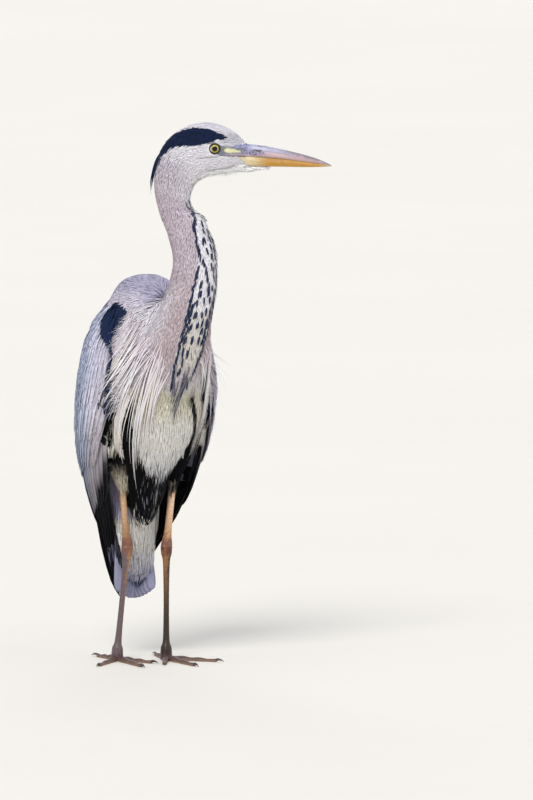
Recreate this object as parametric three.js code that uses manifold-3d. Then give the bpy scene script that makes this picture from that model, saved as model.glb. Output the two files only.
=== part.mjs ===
// A grey heron at rest, life size, standing upright with its head turned to its left.
// Millimetres, +Z up. The modelling frame has +X to the bird's left, -Y to its front and the floor at Z = 0
// between the feet. The exported group is moved so that its origin is under the middle of the whole bird.

import * as THREE from "three";
import { mergeVertices } from "three/addons/utils/BufferGeometryUtils.js";
import Module from "manifold-3d";

const wasm = await Module();
wasm.setup();

// ---------------------------------------------------------------- driving sizes

const GAP = 0.3; // between solids that touch
const CLEANING = 0.02; // splinters finer than this are cleaned off a solid
const HEAD_TURN = THREE.MathUtils.degToRad(65); // from the bird's front towards its left
const EYE_MIDDLE = new THREE.Vector3(75.5, -85, 735); // between the two eyes
const EYE_RADIUS = 8.2;
const EYE_SIDE = 12.6; // from the middle of the head to the middle of an eyeball

// The head in profile, from the bill's root back and down to the nape.
// Each row: forward and up of the crown line, forward and up of the throat line, half width. From the eyes.
const HEAD_PROFILE = [
  [46, 5.5, 47, -27.5, 8.5],
  [33, 18.5, 35, -30.5, 13],
  [17, 29, 18.5, -34.5, 17],
  [0, 34.8, -1.4, -37.5, 19],
  [-17, 36.2, -12, -40.5, 20],
  [-35.5, 32, -21, -46.5, 20.5],
  [-54, 22, -28, -53.5, 20.5],
  [-69.6, 7.8, -32, -62, 20.5],
  [-80.2, -12, -34, -70, 20.5],
  [-84.5, -33, -35, -76, 20.5],
  [-85.5, -52, -34, -82, 20.5],
  [-83.5, -73, -29, -91, 21],
];

// The neck below it. Each row: left, back and up of its middle, half depth, half width, and the way that its
// front faces, in degrees from the bird's front towards its left.
const NECK_LINE = [
  [32.4, -68, 637, 31, 24, 56],
  [36.3, -75, 621, 32, 26.5, 42],
  [38.4, -84, 605, 33, 28, 31],
  [40, -92, 586, 33.5, 28, 23],
  [38.6, -97, 567, 34, 28.5, 18],
  [35.3, -100, 548, 36, 31, 14],
  [30.5, -101, 528, 38, 33, 11],
  [23.9, -100, 507, 40, 36, 10],
  [18.2, -97, 482, 41, 41, 8],
  [12.7, -92, 455, 41, 48, 5],
  [8.1, -83, 425, 40, 54, 3],
  [4.8, -66, 385, 36, 56, 0],
  [3, -40, 345, 28, 44, 0],
];

// Where the long loft of head and neck is parted, as places along its rows.
const NAPE_PLACE = 9.2;
const UPPER_NECK_PLACE = 13.6;
const MIDDLE_NECK_PLACE = 16.8;
const BREAST_PLACE = 19.6;
const LAST_NECK_PLACE = HEAD_PROFILE.length + NECK_LINE.length - 1;

// The trunk. Each row: height, front, back, half width, how far its middle lies to the left.
const TRUNK = [
  [194, -15, 20, 7, 3],
  [202, -21, 36, 13, 3],
  [215, -31, 46, 19, 2],
  [240, -42, 56, 27, 1],
  [264, -50, 60, 37, 1],
  [290, -60, 63, 51, 2],
  [315, -73, 65, 69, 2],
  [340, -84, 66, 80, 2],
  [390, -98, 67, 86, 3],
  [440, -92, 67, 79, 4],
  [480, -74, 64, 65, 5],
  [510, -57, 59, 51, 7],
  [533, -38, 48, 39, 9],
  [543, -25, 35, 30, 10],
  [549, -9, 17, 15, 10],
];

// The soft feathering under the tail, in the same columns.
const UNDERTAIL = [
  [118, 21, 27, 9, 5],
  [128, 19, 29, 17, 5],
  [145, 18, 32, 22, 5],
  [165, 16, 37, 26, 4],
  [185, 12, 45, 29, 3],
  [205, 8, 51, 31, 2],
  [235, 8, 54, 36, 1],
  [270, 12, 55, 44, 1],
];

// The outside of the folded wings round the trunk, in the same columns.
const FOLDED_WINGS = [
  [84, 45, 63, 8, -2],
  [100, 44, 66, 17, -1],
  [120, 42, 70, 26, 1],
  [144, 36, 74, 36, 4],
  [165, 28, 77, 47, 8],
  [189, 14, 79, 58, 11],
  [215, -12, 81, 69, 10],
  [240, -32, 83, 78, 8],
  [264, -48, 84, 85, 6],
  [305, -70, 84, 95.5, 4.5],
  [354, -94, 84, 99.5, 3],
  [400, -104, 82, 98, 3.5],
  [450, -92, 80, 88, 6],
  [480, -80, 76, 74, 7],
  [500, -70, 72, 61, 7],
  [515, -58, 66, 47, 7],
  [531, -40, 56, 31, 8],
];

// The folded wing's feathers in their rows, from the lowest layer up. Turns are in degrees from the middle of
// the back towards the breast, heights are of root and tip at the first and the last feather of the row.
const WING_ROWS = [
  // name, count, first turn, last turn, first root, last root, first tip, last tip
  ["primaries", 7, 122, 62, 266, 262, 114, 86],
  ["secondaries", 8, 124, 54, 322, 312, 226, 186],
  ["tertials", 4, 46, 16, 316, 310, 178, 150],
  ["greater coverts", 8, 124, 26, 388, 382, 304, 246],
  ["median coverts", 7, 123, 34, 446, 438, 374, 358],
  ["lesser coverts", 6, 120, 42, 500, 496, 436, 426],
];
const WING_CORE_OUT = -4; // the wing's solid middle, from the outside given above
const WING_ROOT_OUT = -7; // feathers start inside it
const WING_TIP_OUT = 1.2;
const SHINGLE = [1, 0.07]; // each feather's step over its neighbour, and more per degree between them

const TAIL_FEATHERS = 10;
const TAIL_LEFT = 5;
const TAIL_ROOT = 196;
const TAIL_TIP = 84;
const TAIL_ROWS = [
  [138, 35, 44, 27, 6],
  [165, 37, 50, 27, 5],
  [206, 36, 56, 26, 4],
];

// Long plumes of the breast and the back. Turns as for the wing, on both sides.
const BREAST_PLUMES = [
  // root turn, root height, tip turn, tip height
  [176, 392, 168, 322],
  [174, 420, 158, 284],
  [170, 440, 148, 260],
  [166, 452, 138, 268],
  [160, 462, 128, 304],
  [152, 470, 117, 362],
];
const BACK_PLUMES = [
  [4, 498, 10, 352],
  [8, 504, 21, 330],
  [12, 510, 35, 326],
  [15, 514, 52, 344],
];

const VANE_THICKNESS = 0.8;

const WING_TOP = 518;
const WING_CORE_BOTTOM = 244;

const BILL_LENGTH = 118;

// ---------------------------------------------------------------- numbers and curves

const { degToRad, lerp, clamp } = THREE.MathUtils;
const UP = new THREE.Vector3(0, 0, 1);

// A row at any place along a list of rows, on a smooth curve through them.
function rowAt(rows, place) {
  const first = clamp(Math.floor(place), 0, rows.length - 2);
  const t = place - first;
  const [a, b, c, d] = [-1, 0, 1, 2].map((k) => rows[clamp(first + k, 0, rows.length - 1)]);
  return b.map((_, k) => {
    const bend = (2 * a[k] - 5 * b[k] + 4 * c[k] - d[k]) * t * t;
    const twist = (3 * b[k] - a[k] - 3 * c[k] + d[k]) * t * t * t;
    return 0.5 * (2 * b[k] + (c[k] - a[k]) * t + bend + twist);
  });
}

// The other columns of a table, at any height within its first column.
function atHeight(table, height) {
  const z = clamp(height, table[0][0], table.at(-1)[0]);
  const i = Math.max(1, table.findIndex((row) => row[0] >= z)) - 1;
  const slope = (j, k) => {
    const [before, after] = [table[Math.max(j - 1, 0)], table[Math.min(j + 1, table.length - 1)]];
    return (after[k] - before[k]) / (after[0] - before[0]);
  };
  const [low, high] = [table[i], table[i + 1]];
  const step = high[0] - low[0];
  const t = (z - low[0]) / step;
  return low.slice(1).map((_, column) => {
    const k = column + 1;
    const h00 = (1 + 2 * t) * (1 - t) * (1 - t);
    const h01 = t * t * (3 - 2 * t);
    const bend = t * (1 - t) * (1 - t) * slope(i, k) - t * t * (1 - t) * slope(i + 1, k);
    return h00 * low[k] + h01 * high[k] + step * bend;
  });
}

// Repeatable small differences between like pieces, from -1 to 1.
let seed = 7;
function chance() {
  seed = (seed * 16807) % 2147483647;
  return (2 * seed) / 2147483647 - 1;
}

// Numbers spread evenly from first to last.
const spread = (count, first, last) =>
  Array.from({ length: count }, (_, i) => lerp(first, last, i / (count - 1)));

// ---------------------------------------------------------------- solids

// A closed surface over rings of points, with each end closed round the middle of its ring.
function loft(rings) {
  const count = rings[0].length;
  const points = rings.flat();
  const middles = [rings[0], rings.at(-1)].map((ring) =>
    ring.reduce((sum, p) => sum.add(p), new THREE.Vector3()).divideScalar(count),
  );
  const faces = [];
  for (let i = 0; i + 1 < rings.length; i++) {
    for (let j = 0; j < count; j++) {
      const [a, b] = [i * count + j, i * count + ((j + 1) % count)];
      faces.push(a, b, b + count, a, b + count, a + count);
    }
  }
  const last = (rings.length - 1) * count;
  for (let j = 0; j < count; j++) {
    const k = (j + 1) % count;
    faces.push(points.length, k, j, points.length + 1, last + j, last + k);
  }
  const geometry = new THREE.BufferGeometry().setFromPoints([...points, ...middles]);
  geometry.setIndex(faces);
  return geometry;
}

// A thin vane over rows of points across it. Both its faces are split alike.
function blade(rows, thickness = VANE_THICKNESS) {
  const [last, side] = [rows.length - 1, rows[0].length - 1];
  const at = (i, j) => rows[clamp(i, 0, last)][clamp(j, 0, side)];
  const outwards = (i, j) => {
    const along = at(i + 1, j).clone().sub(at(i - 1, j));
    const across = at(i, j + 1).clone().sub(at(i, j - 1));
    return along.cross(across).normalize();
  };
  const face = (sign) =>
    rows.flatMap((row, i) =>
      row.map((p, j) => p.clone().addScaledVector(outwards(i, j), (sign * thickness) / 2)),
    );
  const points = [...face(1), ...face(-1)];
  const size = points.length / 2;
  const wide = side + 1;
  const faces = [];
  for (let i = 0; i < last; i++) {
    for (let j = 0; j < side; j++) {
      const a = i * wide + j;
      const [b, c, d] = [a + 1, a + 1 + wide, a + wide];
      faces.push(a, b, c, a, c, d);
      faces.push(a + size, c + size, b + size, a + size, d + size, c + size);
    }
  }
  const rim = [];
  for (let j = 0; j < side; j++) rim.push(j);
  for (let i = 0; i < last; i++) rim.push(i * wide + side);
  for (let j = side; j > 0; j--) rim.push(last * wide + j);
  for (let i = last; i > 0; i--) rim.push(i * wide);
  rim.forEach((p, k) => {
    const q = rim[(k + 1) % rim.length];
    faces.push(q, p, p + size, q, p + size, q + size);
  });
  const geometry = new THREE.BufferGeometry().setFromPoints(points);
  geometry.setIndex(faces);
  return solid(geometry);
}

function merged(geometry) {
  const bare = geometry.clone();
  bare.deleteAttribute("normal");
  bare.deleteAttribute("uv");
  return mergeVertices(bare, 1e-4);
}

function solid(geometry) {
  const shape = merged(geometry);
  const triVerts = new Uint32Array(shape.index.array);
  const vertProperties = shape.attributes.position.array;
  const made = new wasm.Manifold(new wasm.Mesh({ numProp: 3, vertProperties, triVerts }));
  if (made.volume() > 0) return made;
  for (let i = 0; i < triVerts.length; i += 3) {
    [triVerts[i], triVerts[i + 1]] = [triVerts[i + 1], triVerts[i]];
  }
  return new wasm.Manifold(new wasm.Mesh({ numProp: 3, vertProperties, triVerts }));
}

function geometryOf(shape) {
  const mesh = shape.getMesh();
  const geometry = new THREE.BufferGeometry();
  geometry.setAttribute("position", new THREE.BufferAttribute(mesh.vertProperties, 3));
  geometry.setIndex(new THREE.BufferAttribute(mesh.triVerts, 1));
  return geometry;
}

// The same solid, grown outwards all over, for cutting room in its neighbours. Each corner moves far enough
// for the faces round it to move by the whole gap.
function swollen(shape, by = GAP + 0.05) {
  const geometry = merged(geometryOf(shape));
  geometry.computeVertexNormals();
  const { position, normal } = geometry.attributes;
  const index = geometry.index.array;
  const corner = (i) => new THREE.Vector3().fromBufferAttribute(position, i);
  const lean = new Float32Array(position.count).fill(1);
  const face = new THREE.Triangle();
  const faceNormal = new THREE.Vector3();
  for (let i = 0; i < index.length; i += 3) {
    face.set(corner(index[i]), corner(index[i + 1]), corner(index[i + 2]));
    face.getNormal(faceNormal);
    for (const j of index.slice(i, i + 3)) {
      const n = new THREE.Vector3().fromBufferAttribute(normal, j);
      lean[j] = Math.min(lean[j], Math.max(0.35, n.dot(faceNormal)));
    }
  }
  for (let i = 0; i < position.count; i++) {
    const out = new THREE.Vector3().fromBufferAttribute(normal, i);
    position.setXYZ(i, ...corner(i).addScaledVector(out, by / lean[i]));
  }
  return solid(geometry);
}

// A node keeps its largest closed surface: scraps and sealed hollows go, and splinters are cleaned off.
const whole = (shape) =>
  shape
    .decompose()
    .sort((a, b) => b.volume() - a.volume())[0]
    .simplify(CLEANING);

const joined = (shapes) => whole(shapes.reduce((sum, shape) => sum.add(shape)));

const cutBy = (shape, tools) => whole(tools.reduce((left, tool) => left.subtract(tool), shape));

// ---------------------------------------------------------------- surfaces of the body

const HEAD_FORWARD = new THREE.Vector3(Math.sin(HEAD_TURN), -Math.cos(HEAD_TURN), 0);
const HEAD_LEFT = new THREE.Vector3().crossVectors(UP, HEAD_FORWARD);

// A point given from between the eyes: forward along the head, up, and to the head's left.
function headPoint(forward, up, left = 0) {
  return EYE_MIDDLE.clone()
    .addScaledVector(HEAD_FORWARD, forward)
    .addScaledVector(UP, up)
    .addScaledVector(HEAD_LEFT, left);
}

// Head and neck as one list of rows: the back line's point, the front line's point, half width.
const HEAD_AND_NECK = [
  ...HEAD_PROFILE.map(([f0, u0, f1, u1, half]) => [
    ...headPoint(f0, u0),
    ...headPoint(f1, u1),
    half,
  ]),
  ...NECK_LINE.map(([x, y, z, depth, half, faces]) => {
    const turn = degToRad(faces);
    const front = new THREE.Vector3(Math.sin(turn), -Math.cos(turn), 0).multiplyScalar(depth);
    const middle = new THREE.Vector3(x, y, z);
    return [...middle.clone().sub(front), ...middle.clone().add(front), half];
  }),
];

function neckRing(place, count, shift = 0) {
  const middleOf = (row) => new THREE.Vector3((row[0] + row[3]) / 2, (row[1] + row[4]) / 2, (row[2] + row[5]) / 2);
  const row = rowAt(HEAD_AND_NECK, place);
  const middle = middleOf(row);
  const along = middleOf(rowAt(HEAD_AND_NECK, place + 0.1))
    .sub(middleOf(rowAt(HEAD_AND_NECK, place - 0.1)))
    .normalize();
  const front = new THREE.Vector3(row[3], row[4], row[5]).sub(middle);
  const left = new THREE.Vector3().crossVectors(front, along).normalize().multiplyScalar(row[6]);
  return Array.from({ length: count }, (_, i) => {
    const turn = (2 * Math.PI * i) / count;
    return middle
      .clone()
      .addScaledVector(front, Math.cos(turn))
      .addScaledVector(left, Math.sin(turn))
      .addScaledVector(along, shift);
  });
}

// A length of head and neck, drawn in at each end by half the gap.
function neckLength(from, to, steps, count) {
  const last = steps - 1;
  const rings = spread(steps, from, to).map((place, i) =>
    neckRing(place, count, i === 0 ? GAP / 2 : i === last ? -GAP / 2 : 0),
  );
  return loft(rings);
}

// A point on one of the upright tables: turn is 0 at the back, PI at the front, positive to the bird's left.
function upright(table, height, turn, out = 0) {
  const [front, back, half, left = 0] = atHeight(table, height);
  const middle = (front + back) / 2;
  const depth = (back - front) / 2;
  return new THREE.Vector3(
    left + (half + out) * Math.sin(turn),
    middle + (depth + out) * Math.cos(turn),
    height,
  );
}

// ---------------------------------------------------------------- trunk, neck and head

function uprightLoft(table, steps, count) {
  const rings = spread(steps, table[0][0], table.at(-1)[0]).map((z) =>
    spread(count + 1, 0, 2 * Math.PI)
      .slice(1)
      .map((turn) => upright(table, z, turn)),
  );
  return solid(loft(rings));
}

function makeTrunk() {
  const trunk = uprightLoft(TRUNK, 16, 20);
  const undertail = uprightLoft(UNDERTAIL, 7, 14);
  const breast = solid(neckLength(BREAST_PLACE, LAST_NECK_PLACE, 7, 20));
  return { trunk, torso: joined([trunk, undertail, breast]) };
}

// The outermost point of solids at a height, in a direction from an upright axis through the trunk.
const AXIS = new THREE.Vector3(5, -8, 0);
const REACH = 400;

function outermost(meshes, turn, height) {
  const way = new THREE.Vector3(Math.sin(turn), Math.cos(turn), 0);
  const start = AXIS.clone().setZ(height).addScaledVector(way, REACH);
  const hit = new THREE.Raycaster(start, way.clone().negate()).intersectObjects(meshes)[0];
  return hit ? REACH - hit.distance : 0;
}

const PLUME_ROWS = [
  // along, half width, height over what it lies on
  [0, 0.8, -3.5],
  [0.22, 1, 1.8],
  [0.5, 1, 2],
  [0.8, 0.7, 2.2],
  [1, 0.14, 2.6],
];

// A long tapered plume, rooted in the body and lying over all the solids it is given.
function plume(body, over, side, [rootTurn, rootHeight, tipTurn, tipHeight], halfWidth) {
  const way = (t) => degToRad(lerp(rootTurn, tipTurn, Math.max(0, t) ** 1.5)) * side;
  const height = (t) => lerp(rootHeight, tipHeight, t);
  const rows = PLUME_ROWS.map(([t, width, lift]) => {
    const near = [-0.15, -0.1, -0.05, 0, 0.05, 0.1, 0.15].flatMap((step) =>
      [-0.06, 0, 0.06].map((aside) => {
        const along = clamp(t + step, 0, 1);
        return lift > 0
          ? outermost(over, way(along) + aside, height(along))
          : outermost([body], way(0), height(0));
      }),
    );
    const radius = Math.max(...near) + lift;
    const spot = (turn, z) =>
      new THREE.Vector3(AXIS.x + radius * Math.sin(turn), AXIS.y + radius * Math.cos(turn), z);
    const along = spot(way(t + 0.02), height(t + 0.02)).sub(spot(way(t - 0.02), height(t - 0.02)));
    const out = new THREE.Vector3(Math.sin(way(t)), Math.cos(way(t)), 0);
    const across = along.cross(out).normalize().multiplyScalar(width * halfWidth);
    const middle = spot(way(t), height(t));
    return [middle.clone().sub(across), middle.clone().add(across)];
  });
  return blade(rows, VANE_THICKNESS);
}

function plumes(body, over, side, table, count, halfWidth) {
  return spread(count, 0, table.length - 1).map((place) => {
    const [rootTurn, rootHeight, tipTurn, tipHeight] = rowAt(table, place);
    const row = [rootTurn + 2 * chance(), rootHeight + 6 * chance(), tipTurn + 2 * chance()];
    return plume(body, over, side, [...row, tipHeight + 10 * chance()], halfWidth * (1 + 0.2 * chance()));
  });
}

// The line of the mouth, running back from the bill under the eye, as a cutter for the head.
const MOUTH_LINE = [
  [52, -12.6],
  [36, -11.4],
  [20, -11.2],
  [6, -12],
  [-8, -13.8],
];

const CREST = [
  // how far to the left, length share
  [2.6, 1],
  [-2.6, 0.86],
];
const CREST_PATH = [
  [-70, 0],
  [-83.5, -16],
  [-90.5, -40],
  [-93, -56],
  [-92, -70],
];

function makeHead(rooms) {
  const skull = solid(neckLength(0, NAPE_PLACE, 15, 20));
  const lids = [1, -1].map((side) => {
    const ring = new THREE.TorusGeometry(EYE_RADIUS * 0.94, 1.7, 5, 14);
    ring.lookAt(HEAD_LEFT);
    const at = headPoint(0, 0, side * (EYE_SIDE + 4.6));
    ring.translate(at.x, at.y, at.z);
    return solid(ring);
  });
  const crest = CREST.map(([left, share]) =>
    blade(
      [0, 0.25, 0.5, 0.75, 1].map((t) => {
        const [forward, up] = rowAt(CREST_PATH, t * share * (CREST_PATH.length - 1));
        const half = lerp(2.2, 0.5, t ** 2);
        return [headPoint(forward, up, left - half), headPoint(forward, up, left + half)];
      }),
      1.2,
    ),
  );
  const mesh = [new THREE.Mesh(geometryOf(skull))];
  const mouth = [1, -1].map((side) =>
    blade(
      MOUTH_LINE.map(([forward, up]) => {
        const from = headPoint(forward, up, side * 60);
        const way = HEAD_LEFT.clone().multiplyScalar(-side);
        const hit = new THREE.Raycaster(from, way).intersectObjects(mesh)[0];
        const wall = 60 - (hit ? hit.distance : 52);
        return [headPoint(forward, up, side * (wall - 1.6)), headPoint(forward, up, side * (wall + 3))];
      }),
      1.1,
    ),
  );
  return cutBy(joined([skull, ...lids, ...crest]), [...rooms, ...mouth]);
}

function makeEye(side) {
  const ball = new THREE.IcosahedronGeometry(EYE_RADIUS, 2);
  const at = headPoint(0, 0, side * EYE_SIDE);
  ball.translate(at.x, at.y, at.z);
  return solid(ball);
}

// ---------------------------------------------------------------- bill

// Culmen, mouth line and lower edge by distance forward of the eyes; the bill closes to its point.
const BILL_ROOT = 47.3;
const BILL_ROWS = [
  // forward, culmen, mouth, lower edge, half width
  [BILL_ROOT, 5.2, -12.2, -26.8, 8.6],
  [70, 2.6, -14, -27, 7.6],
  [95, -2.4, -16, -27.3, 6.1],
  [125, -9.6, -19.6, -27.8, 4.2],
  [148, -17, -22.8, -27.6, 2.4],
  [BILL_ROOT + BILL_LENGTH, -25.2, -25.9, -26.6, 0.5],
];

// Nostril and the groove in front of it, as cutters for the upper bill's two sides.
const BILL_GROOVES = [
  // from, to, height at each end, depth, thickness
  [55, 66, -3.4, -4.4, 2.4, 1.5],
  [66, 104, -4.4, -10.2, 0.7, 0.9],
];

function billGrooves() {
  return [1, -1].flatMap((side) =>
    BILL_GROOVES.map(([from, to, highAt, lowAt, depth, thickness]) =>
      blade(
        [0, 0.5, 1].map((t) => {
          const forward = lerp(from, to, t);
          const wall = lerp(8, 4.4, (forward - 55) / 49);
          const up = lerp(highAt, lowAt, t);
          return [headPoint(forward, up, side * (wall - depth)), headPoint(forward, up, side * (wall + 3))];
        }),
        thickness,
      ),
    ),
  );
}

function makeBill(upper) {
  const rings = spread(11, 0, BILL_ROWS.length - 1).map((place) => {
    const [forward, culmen, mouth, lower, half] = rowAt(BILL_ROWS, place);
    const tall = upper ? culmen - mouth - GAP / 2 : lower - mouth + GAP / 2;
    const cut = mouth + (upper ? GAP / 2 : -GAP / 2);
    const arch = spread(7, 0, Math.PI).map((turn) => {
      const pinch = Math.sin(turn) ** 0.85;
      return headPoint(forward, cut + tall * pinch, half * Math.cos(turn));
    });
    return [...arch, headPoint(forward, cut, 0)];
  });
  return upper ? cutBy(solid(loft(rings)), billGrooves()) : solid(loft(rings));
}

// ---------------------------------------------------------------- wings and tail

const VANE_ROWS = [
  // along, half width, how far its edges hang back
  [0, 0.8, 0],
  [0.45, 1, 0],
  [0.84, 0.95, 0],
  [1, 0.42, 0.06],
];

function wingFeather(side, turn, step, root, tip) {
  const rows = VANE_ROWS.map(([t, width, back]) =>
    [-1, 0, 1].map((edge) => {
      const place = t - Math.abs(edge) * back;
      const aside = 0.75 * edge * width;
      const out = lerp(WING_ROOT_OUT, WING_TIP_OUT, place) + (SHINGLE[0] + SHINGLE[1] * step) * aside;
      return upright(FOLDED_WINGS, lerp(root, tip, place), side * degToRad(turn + aside * step), out);
    }),
  );
  return blade(rows);
}

function wingCore(side) {
  const rings = spread(8, WING_CORE_BOTTOM, WING_TOP).map((z, n) => {
    const t = n / 7;
    const turns = spread(7, lerp(11, 32, t), 128).map((turn) => side * degToRad(turn));
    const thin = Math.min(1, 0.4 + 4 * (1 - t));
    const outer = turns.map((turn) => upright(FOLDED_WINGS, z, turn, WING_CORE_OUT));
    const inner = turns.map((turn, i) => {
      const thick = thin * (6 + 5 * Math.sin((Math.PI * i) / 6));
      return upright(FOLDED_WINGS, z, turn, WING_CORE_OUT - thick);
    });
    return [...outer, ...inner.reverse()];
  });
  return solid(loft(rings));
}

function makeWing(side, rooms) {
  const feathers = WING_ROWS.flatMap(([, count, ...ends]) => {
    const [turnA, turnB, rootA, rootB, tipA, tipB] = ends;
    const step = Math.abs(turnB - turnA) / (count - 1);
    return spread(count, 0, 1).map((t) =>
      wingFeather(side, lerp(turnA, turnB, t), step, lerp(rootA, rootB, t), lerp(tipA, tipB, t) + chance()),
    );
  });
  return cutBy(joined([wingCore(side), ...feathers]), rooms);
}

function makeTail(rooms) {
  const feathers = spread(TAIL_FEATHERS, 0.5 - TAIL_FEATHERS / 2, TAIL_FEATHERS / 2 - 0.5).map((i) => {
    const layer = 1.45 * Math.abs(i - 0.4);
    const tip = TAIL_TIP + Math.abs(i) ** 1.4 + chance();
    return blade(
      VANE_ROWS.map(([t, width, back]) =>
        [-1, 0, 1].map((edge) => {
          const place = t - Math.abs(edge) * back;
          const left = TAIL_LEFT - 2 * (1 - place) + i * lerp(3.6, 6.1, place) + edge * width * 5.8;
          return new THREE.Vector3(left, lerp(47, 37, place) - layer, lerp(TAIL_ROOT, tip, place));
        }),
      ),
    );
  });
  return cutBy(joined([uprightLoft(TAIL_ROWS, 4, 16), ...feathers]), rooms);
}

// ---------------------------------------------------------------- legs and feet

// A round limb through rows of left, back, up and radius.
function limb(rows, steps, count, ends = 0) {
  const places = spread(steps, 0, rows.length - 1);
  const at = (place) => new THREE.Vector3(...rowAt(rows, place));
  const rings = places.map((place, n) => {
    const along = at(Math.min(place + 0.05, rows.length - 1))
      .sub(at(Math.max(place - 0.05, 0)))
      .normalize();
    const radius = rowAt(rows, place)[3];
    const across = new THREE.Vector3(0, 1, 0).cross(along).normalize();
    const out = new THREE.Vector3().crossVectors(along, across);
    const shift = n === 0 ? ends : n === steps - 1 ? -ends : 0;
    return Array.from({ length: count }, (_, i) => {
      const turn = (2 * Math.PI * i) / count;
      return at(place)
        .addScaledVector(across, radius * Math.cos(turn))
        .addScaledVector(out, radius * Math.sin(turn))
        .addScaledVector(along, shift);
    });
  });
  return solid(loft(rings));
}

const LEGS = {
  left: {
    side: 1,
    hip: [48, -16, 316],
    garter: [40, -17, 243],
    heel: [39, 0, 160],
    ankle: [33, -12, 13],
  },
  right: {
    side: -1,
    hip: [-49, -14, 318],
    garter: [-31.5, -4, 246],
    heel: [-17.5, 10, 161],
    ankle: [-33.5, 10, 13],
  },
};

const mixed = (a, b, t) => a.map((v, i) => lerp(v, b[i], t));

function makeThigh({ hip, garter }) {
  return limb(
    [
      [...hip, 28],
      [...mixed(hip, garter, 0.35), 22],
      [...mixed(hip, garter, 0.7), 12.5],
      [...garter, 6.8],
    ],
    7,
    12,
  );
}

function makeShank({ garter, heel }) {
  return limb(
    [
      [...mixed(garter, heel, -0.12), 5.2],
      [...mixed(garter, heel, 0.4), 5],
      [...mixed(garter, heel, 0.75), 5.6],
      [...mixed(garter, heel, 0.9), 7.6],
      [...mixed(garter, heel, 1), 8.6],
    ],
    7,
    10,
    GAP / 2,
  );
}

function makeTarsus({ heel, ankle }) {
  return limb(
    [
      [...heel, 8.6],
      [...mixed(heel, ankle, 0.07), 7.6],
      [...mixed(heel, ankle, 0.16), 5],
      [...mixed(heel, ankle, 0.5), 4],
      [...mixed(heel, ankle, 0.88), 4.8],
      [...mixed(heel, ankle, 0.97), 8],
      [ankle[0], ankle[1], 1.5, 9],
    ],
    11,
    10,
    GAP / 2,
  );
}

const TOES = [
  // name, turn from the front towards the outer side, length, radius, claw length
  ["middle", 2, 88, 4.4, 14],
  ["inner", -27, 62, 4.2, 13],
  ["outer", 44, 76, 4.1, 12],
  ["hind", 172, 50, 4.3, 18],
];

// A toe lies along the floor on a flat sole, thicker at its joints.
function makeToe({ side, ankle }, [, turnDegrees, length, radius]) {
  const turn = degToRad(turnDegrees) * side;
  const way = new THREE.Vector3(Math.sin(turn), -Math.cos(turn), 0);
  const across = new THREE.Vector3(-way.y, way.x, 0);
  const rings = spread(7, 3, length).map((reach) => {
    const t = reach / length;
    const joint = 1 + 0.1 * Math.cos(t * 3 * 2 * Math.PI);
    const thick = radius * lerp(1.25, 0.72, t) * joint;
    const middle = new THREE.Vector3(ankle[0], ankle[1], 0).addScaledVector(way, reach);
    const arch = spread(7, -0.16 * Math.PI, 1.16 * Math.PI).map((angle) =>
      middle
        .clone()
        .addScaledVector(across, thick * Math.cos(angle))
        .add(new THREE.Vector3(0, 0, Math.max(0, thick * (0.49 + Math.sin(angle)) * 0.95))),
    );
    arch[0].z = 0;
    arch.at(-1).z = 0;
    return arch;
  });
  return solid(loft(rings));
}

function makeClaw({ side, ankle }, [, turnDegrees, length, radius, claw]) {
  const turn = degToRad(turnDegrees) * side;
  const way = new THREE.Vector3(Math.sin(turn), -Math.cos(turn), 0);
  const base = radius * 0.5;
  const across = new THREE.Vector3(-way.y, way.x, 0);
  const rows = [
    [0, 0, base],
    [0.3, 0.9, base * 0.85],
    [0.65, 0.4, base * 0.55],
    [1, -1.9, 0.35],
  ];
  const rings = rows.map(([t, lift, thick]) => {
    const reach = length + GAP + claw * t;
    const middle = new THREE.Vector3(ankle[0], ankle[1], base + 0.9 + lift).addScaledVector(way, reach);
    return spread(7, 0, 2 * Math.PI)
      .slice(1)
      .map((angle) =>
        middle
          .clone()
          .addScaledVector(across, thick * Math.cos(angle))
          .addScaledVector(UP, thick * Math.sin(angle)),
      );
  });
  return solid(loft(rings));
}

// ---------------------------------------------------------------- colours

const finish = (color, roughness) =>
  new THREE.MeshStandardMaterial({ color, roughness, metalness: 0 });

const FINISHES = {
  head: finish(0xe9e6e8, 0.85),
  neck: finish(0xc3b8bd, 0.85),
  torso: finish(0xb7afb8, 0.85),
  wing: finish(0x9d98a6, 0.8),
  tail: finish(0xb9b4bb, 0.8),
  thigh: finish(0xb5ab9c, 0.85),
  leg: finish(0x9a6a4a, 0.6),
  foot: finish(0x6e4c46, 0.65),
  claw: finish(0x2b2422, 0.4),
  upperBill: finish(0xb08a72, 0.4),
  lowerBill: finish(0xe09a2c, 0.4),
  eye: finish(0xe3cf4a, 0.1),
};

// ---------------------------------------------------------------- the bird

const heron = new THREE.Group();

function add(name, shape, material) {
  const mesh = new THREE.Mesh(geometryOf(shape), material);
  mesh.name = name;
  heron.add(mesh);
}

const { trunk, torso } = makeTrunk();
const torsoRoom = swollen(torso);
const trunkRoom = swollen(trunk);

const eyes = { left: makeEye(1), right: makeEye(-1) };
add("head", makeHead([swollen(eyes.left), swollen(eyes.right)]), FINISHES.head);
add("eye_left", eyes.left, FINISHES.eye);
add("eye_right", eyes.right, FINISHES.eye);
add("bill_upper", makeBill(true), FINISHES.upperBill);
add("bill_lower", makeBill(false), FINISHES.lowerBill);

add("neck_upper", solid(neckLength(NAPE_PLACE, UPPER_NECK_PLACE, 9, 20)), FINISHES.neck);
add("neck_middle", solid(neckLength(UPPER_NECK_PLACE, MIDDLE_NECK_PLACE, 6, 20)), FINISHES.neck);
const lowerNeck = solid(neckLength(MIDDLE_NECK_PLACE, BREAST_PLACE, 6, 20));
const lowerNeckRoom = swollen(lowerNeck);
add("neck_lower", cutBy(lowerNeck, [trunkRoom]), FINISHES.neck);

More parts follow.
